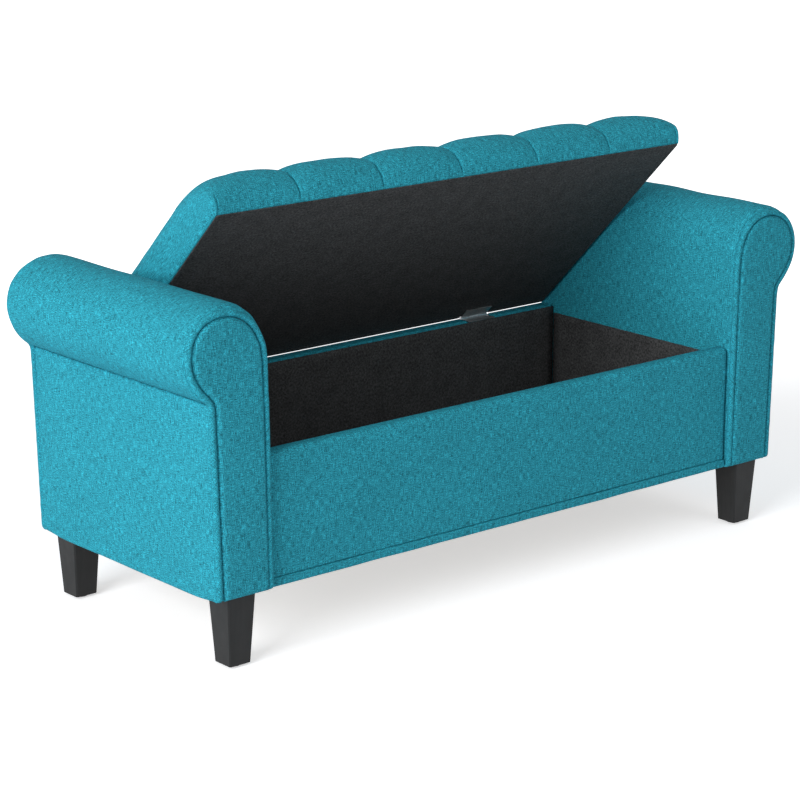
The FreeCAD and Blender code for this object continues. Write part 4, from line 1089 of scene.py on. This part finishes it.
def floor():
    """A pale floor that is white to the camera and keeps the ottoman's soft shadow."""
    mesh = bpy.data.meshes.new("studio_floor")
    corners = [(wide * FLOOR_REACH, deep * FLOOR_REACH, 0)
               for wide, deep in ((-1, -1), (1, -1), (1, 1), (-1, 1))]
    mesh.from_pydata(corners, [], [(0, 1, 2, 3)])
    material, tree, shader = new_material("studio_white")
    shader.inputs["Base Color"].default_value = FLOOR_COLOUR
    shader.inputs["Roughness"].default_value = 0.9
    shader.inputs["Specular IOR Level"].default_value = 0.0
    place = node(tree, "ShaderNodeNewGeometry").outputs["Position"]
    away = node(tree, "ShaderNodeVectorMath", {0: place}, operation="LENGTH").outputs["Value"]
    whiter = node(tree, "ShaderNodeMapRange",
                  {"Value": away, "From Min": FLOOR_WHITE_FROM, "From Max": FLOOR_WHITE_TO,
                   "To Min": FLOOR_GLOW_NEAR, "To Max": FLOOR_GLOW_FAR}, interpolation_type="SMOOTHSTEP")
    strength = maths(tree, "MULTIPLY", seen_ray(tree), whiter.outputs["Result"])
    glow = node(tree, "ShaderNodeEmission", {"Strength": strength})
    both = node(tree, "ShaderNodeAddShader", {0: shader.outputs["BSDF"], 1: glow.outputs["Emission"]})
    tree.links.new(both.outputs["Shader"], tree.nodes["Material Output"].inputs["Surface"])
    mesh.materials.append(material)
    plane = bpy.data.objects.new("studio_floor", mesh)
    bpy.context.scene.collection.objects.link(plane)


def soft_light(name, place, target, size, power):
    """A large soft lamp that looks at a point."""
    data = bpy.data.lights.new(name, "AREA")
    data.shape = "RECTANGLE"
    data.size, data.size_y = size
    data.energy = power
    lamp = bpy.data.objects.new(name, data)
    lamp.location = place
    way = (np.array(target) - np.array(place)).tolist()
    lamp.rotation_euler = Vector(way).to_track_quat("-Z", "Y").to_euler()
    bpy.context.scene.collection.objects.link(lamp)


def light():
    """Soft light from the left, a weaker fill from the front and an even sky, white where seen."""
    world = bpy.data.worlds.new("studio_sky")
    world.use_nodes = True
    tree = world.node_tree
    sky = tree.nodes["Background"]
    sky.inputs["Color"].default_value = WHITE
    sky.inputs["Strength"].default_value = SKY_STRENGTH
    seen = node(tree, "ShaderNodeBackground", {"Color": WHITE, "Strength": 1.0})
    both = node(tree, "ShaderNodeMixShader", {0: seen_ray(tree), 1: sky.outputs["Background"],
                                              2: seen.outputs["Background"]})
    tree.links.new(both.outputs["Shader"], tree.nodes["World Output"].inputs["Surface"])
    bpy.context.scene.world = world
    soft_light("left_key", (-6.0, -1.6, 2.6), (0, 0, 0.35), (3.6, 3.2), KEY_POWER)
    soft_light("front_fill", (1.8, -5.5, 4.4), (0, 0, 0.4), (3.6, 2.6), FILL_POWER)


def camera():
    """The photograph's viewpoint."""
    data = bpy.data.cameras.new("camera")
    data.sensor_width = 36
    data.lens = LENS
    data.clip_end = 100
    eye = bpy.data.objects.new("camera", data)
    eye.location = EYE
    eye.rotation_euler = (math.radians(90 - LOOKING_DOWN), 0, math.radians(LOOKING_ACROSS))
    bpy.context.scene.collection.objects.link(eye)
    bpy.context.scene.camera = eye


floor()
light()
camera()
bpy.context.scene.view_settings.view_transform = "Standard"
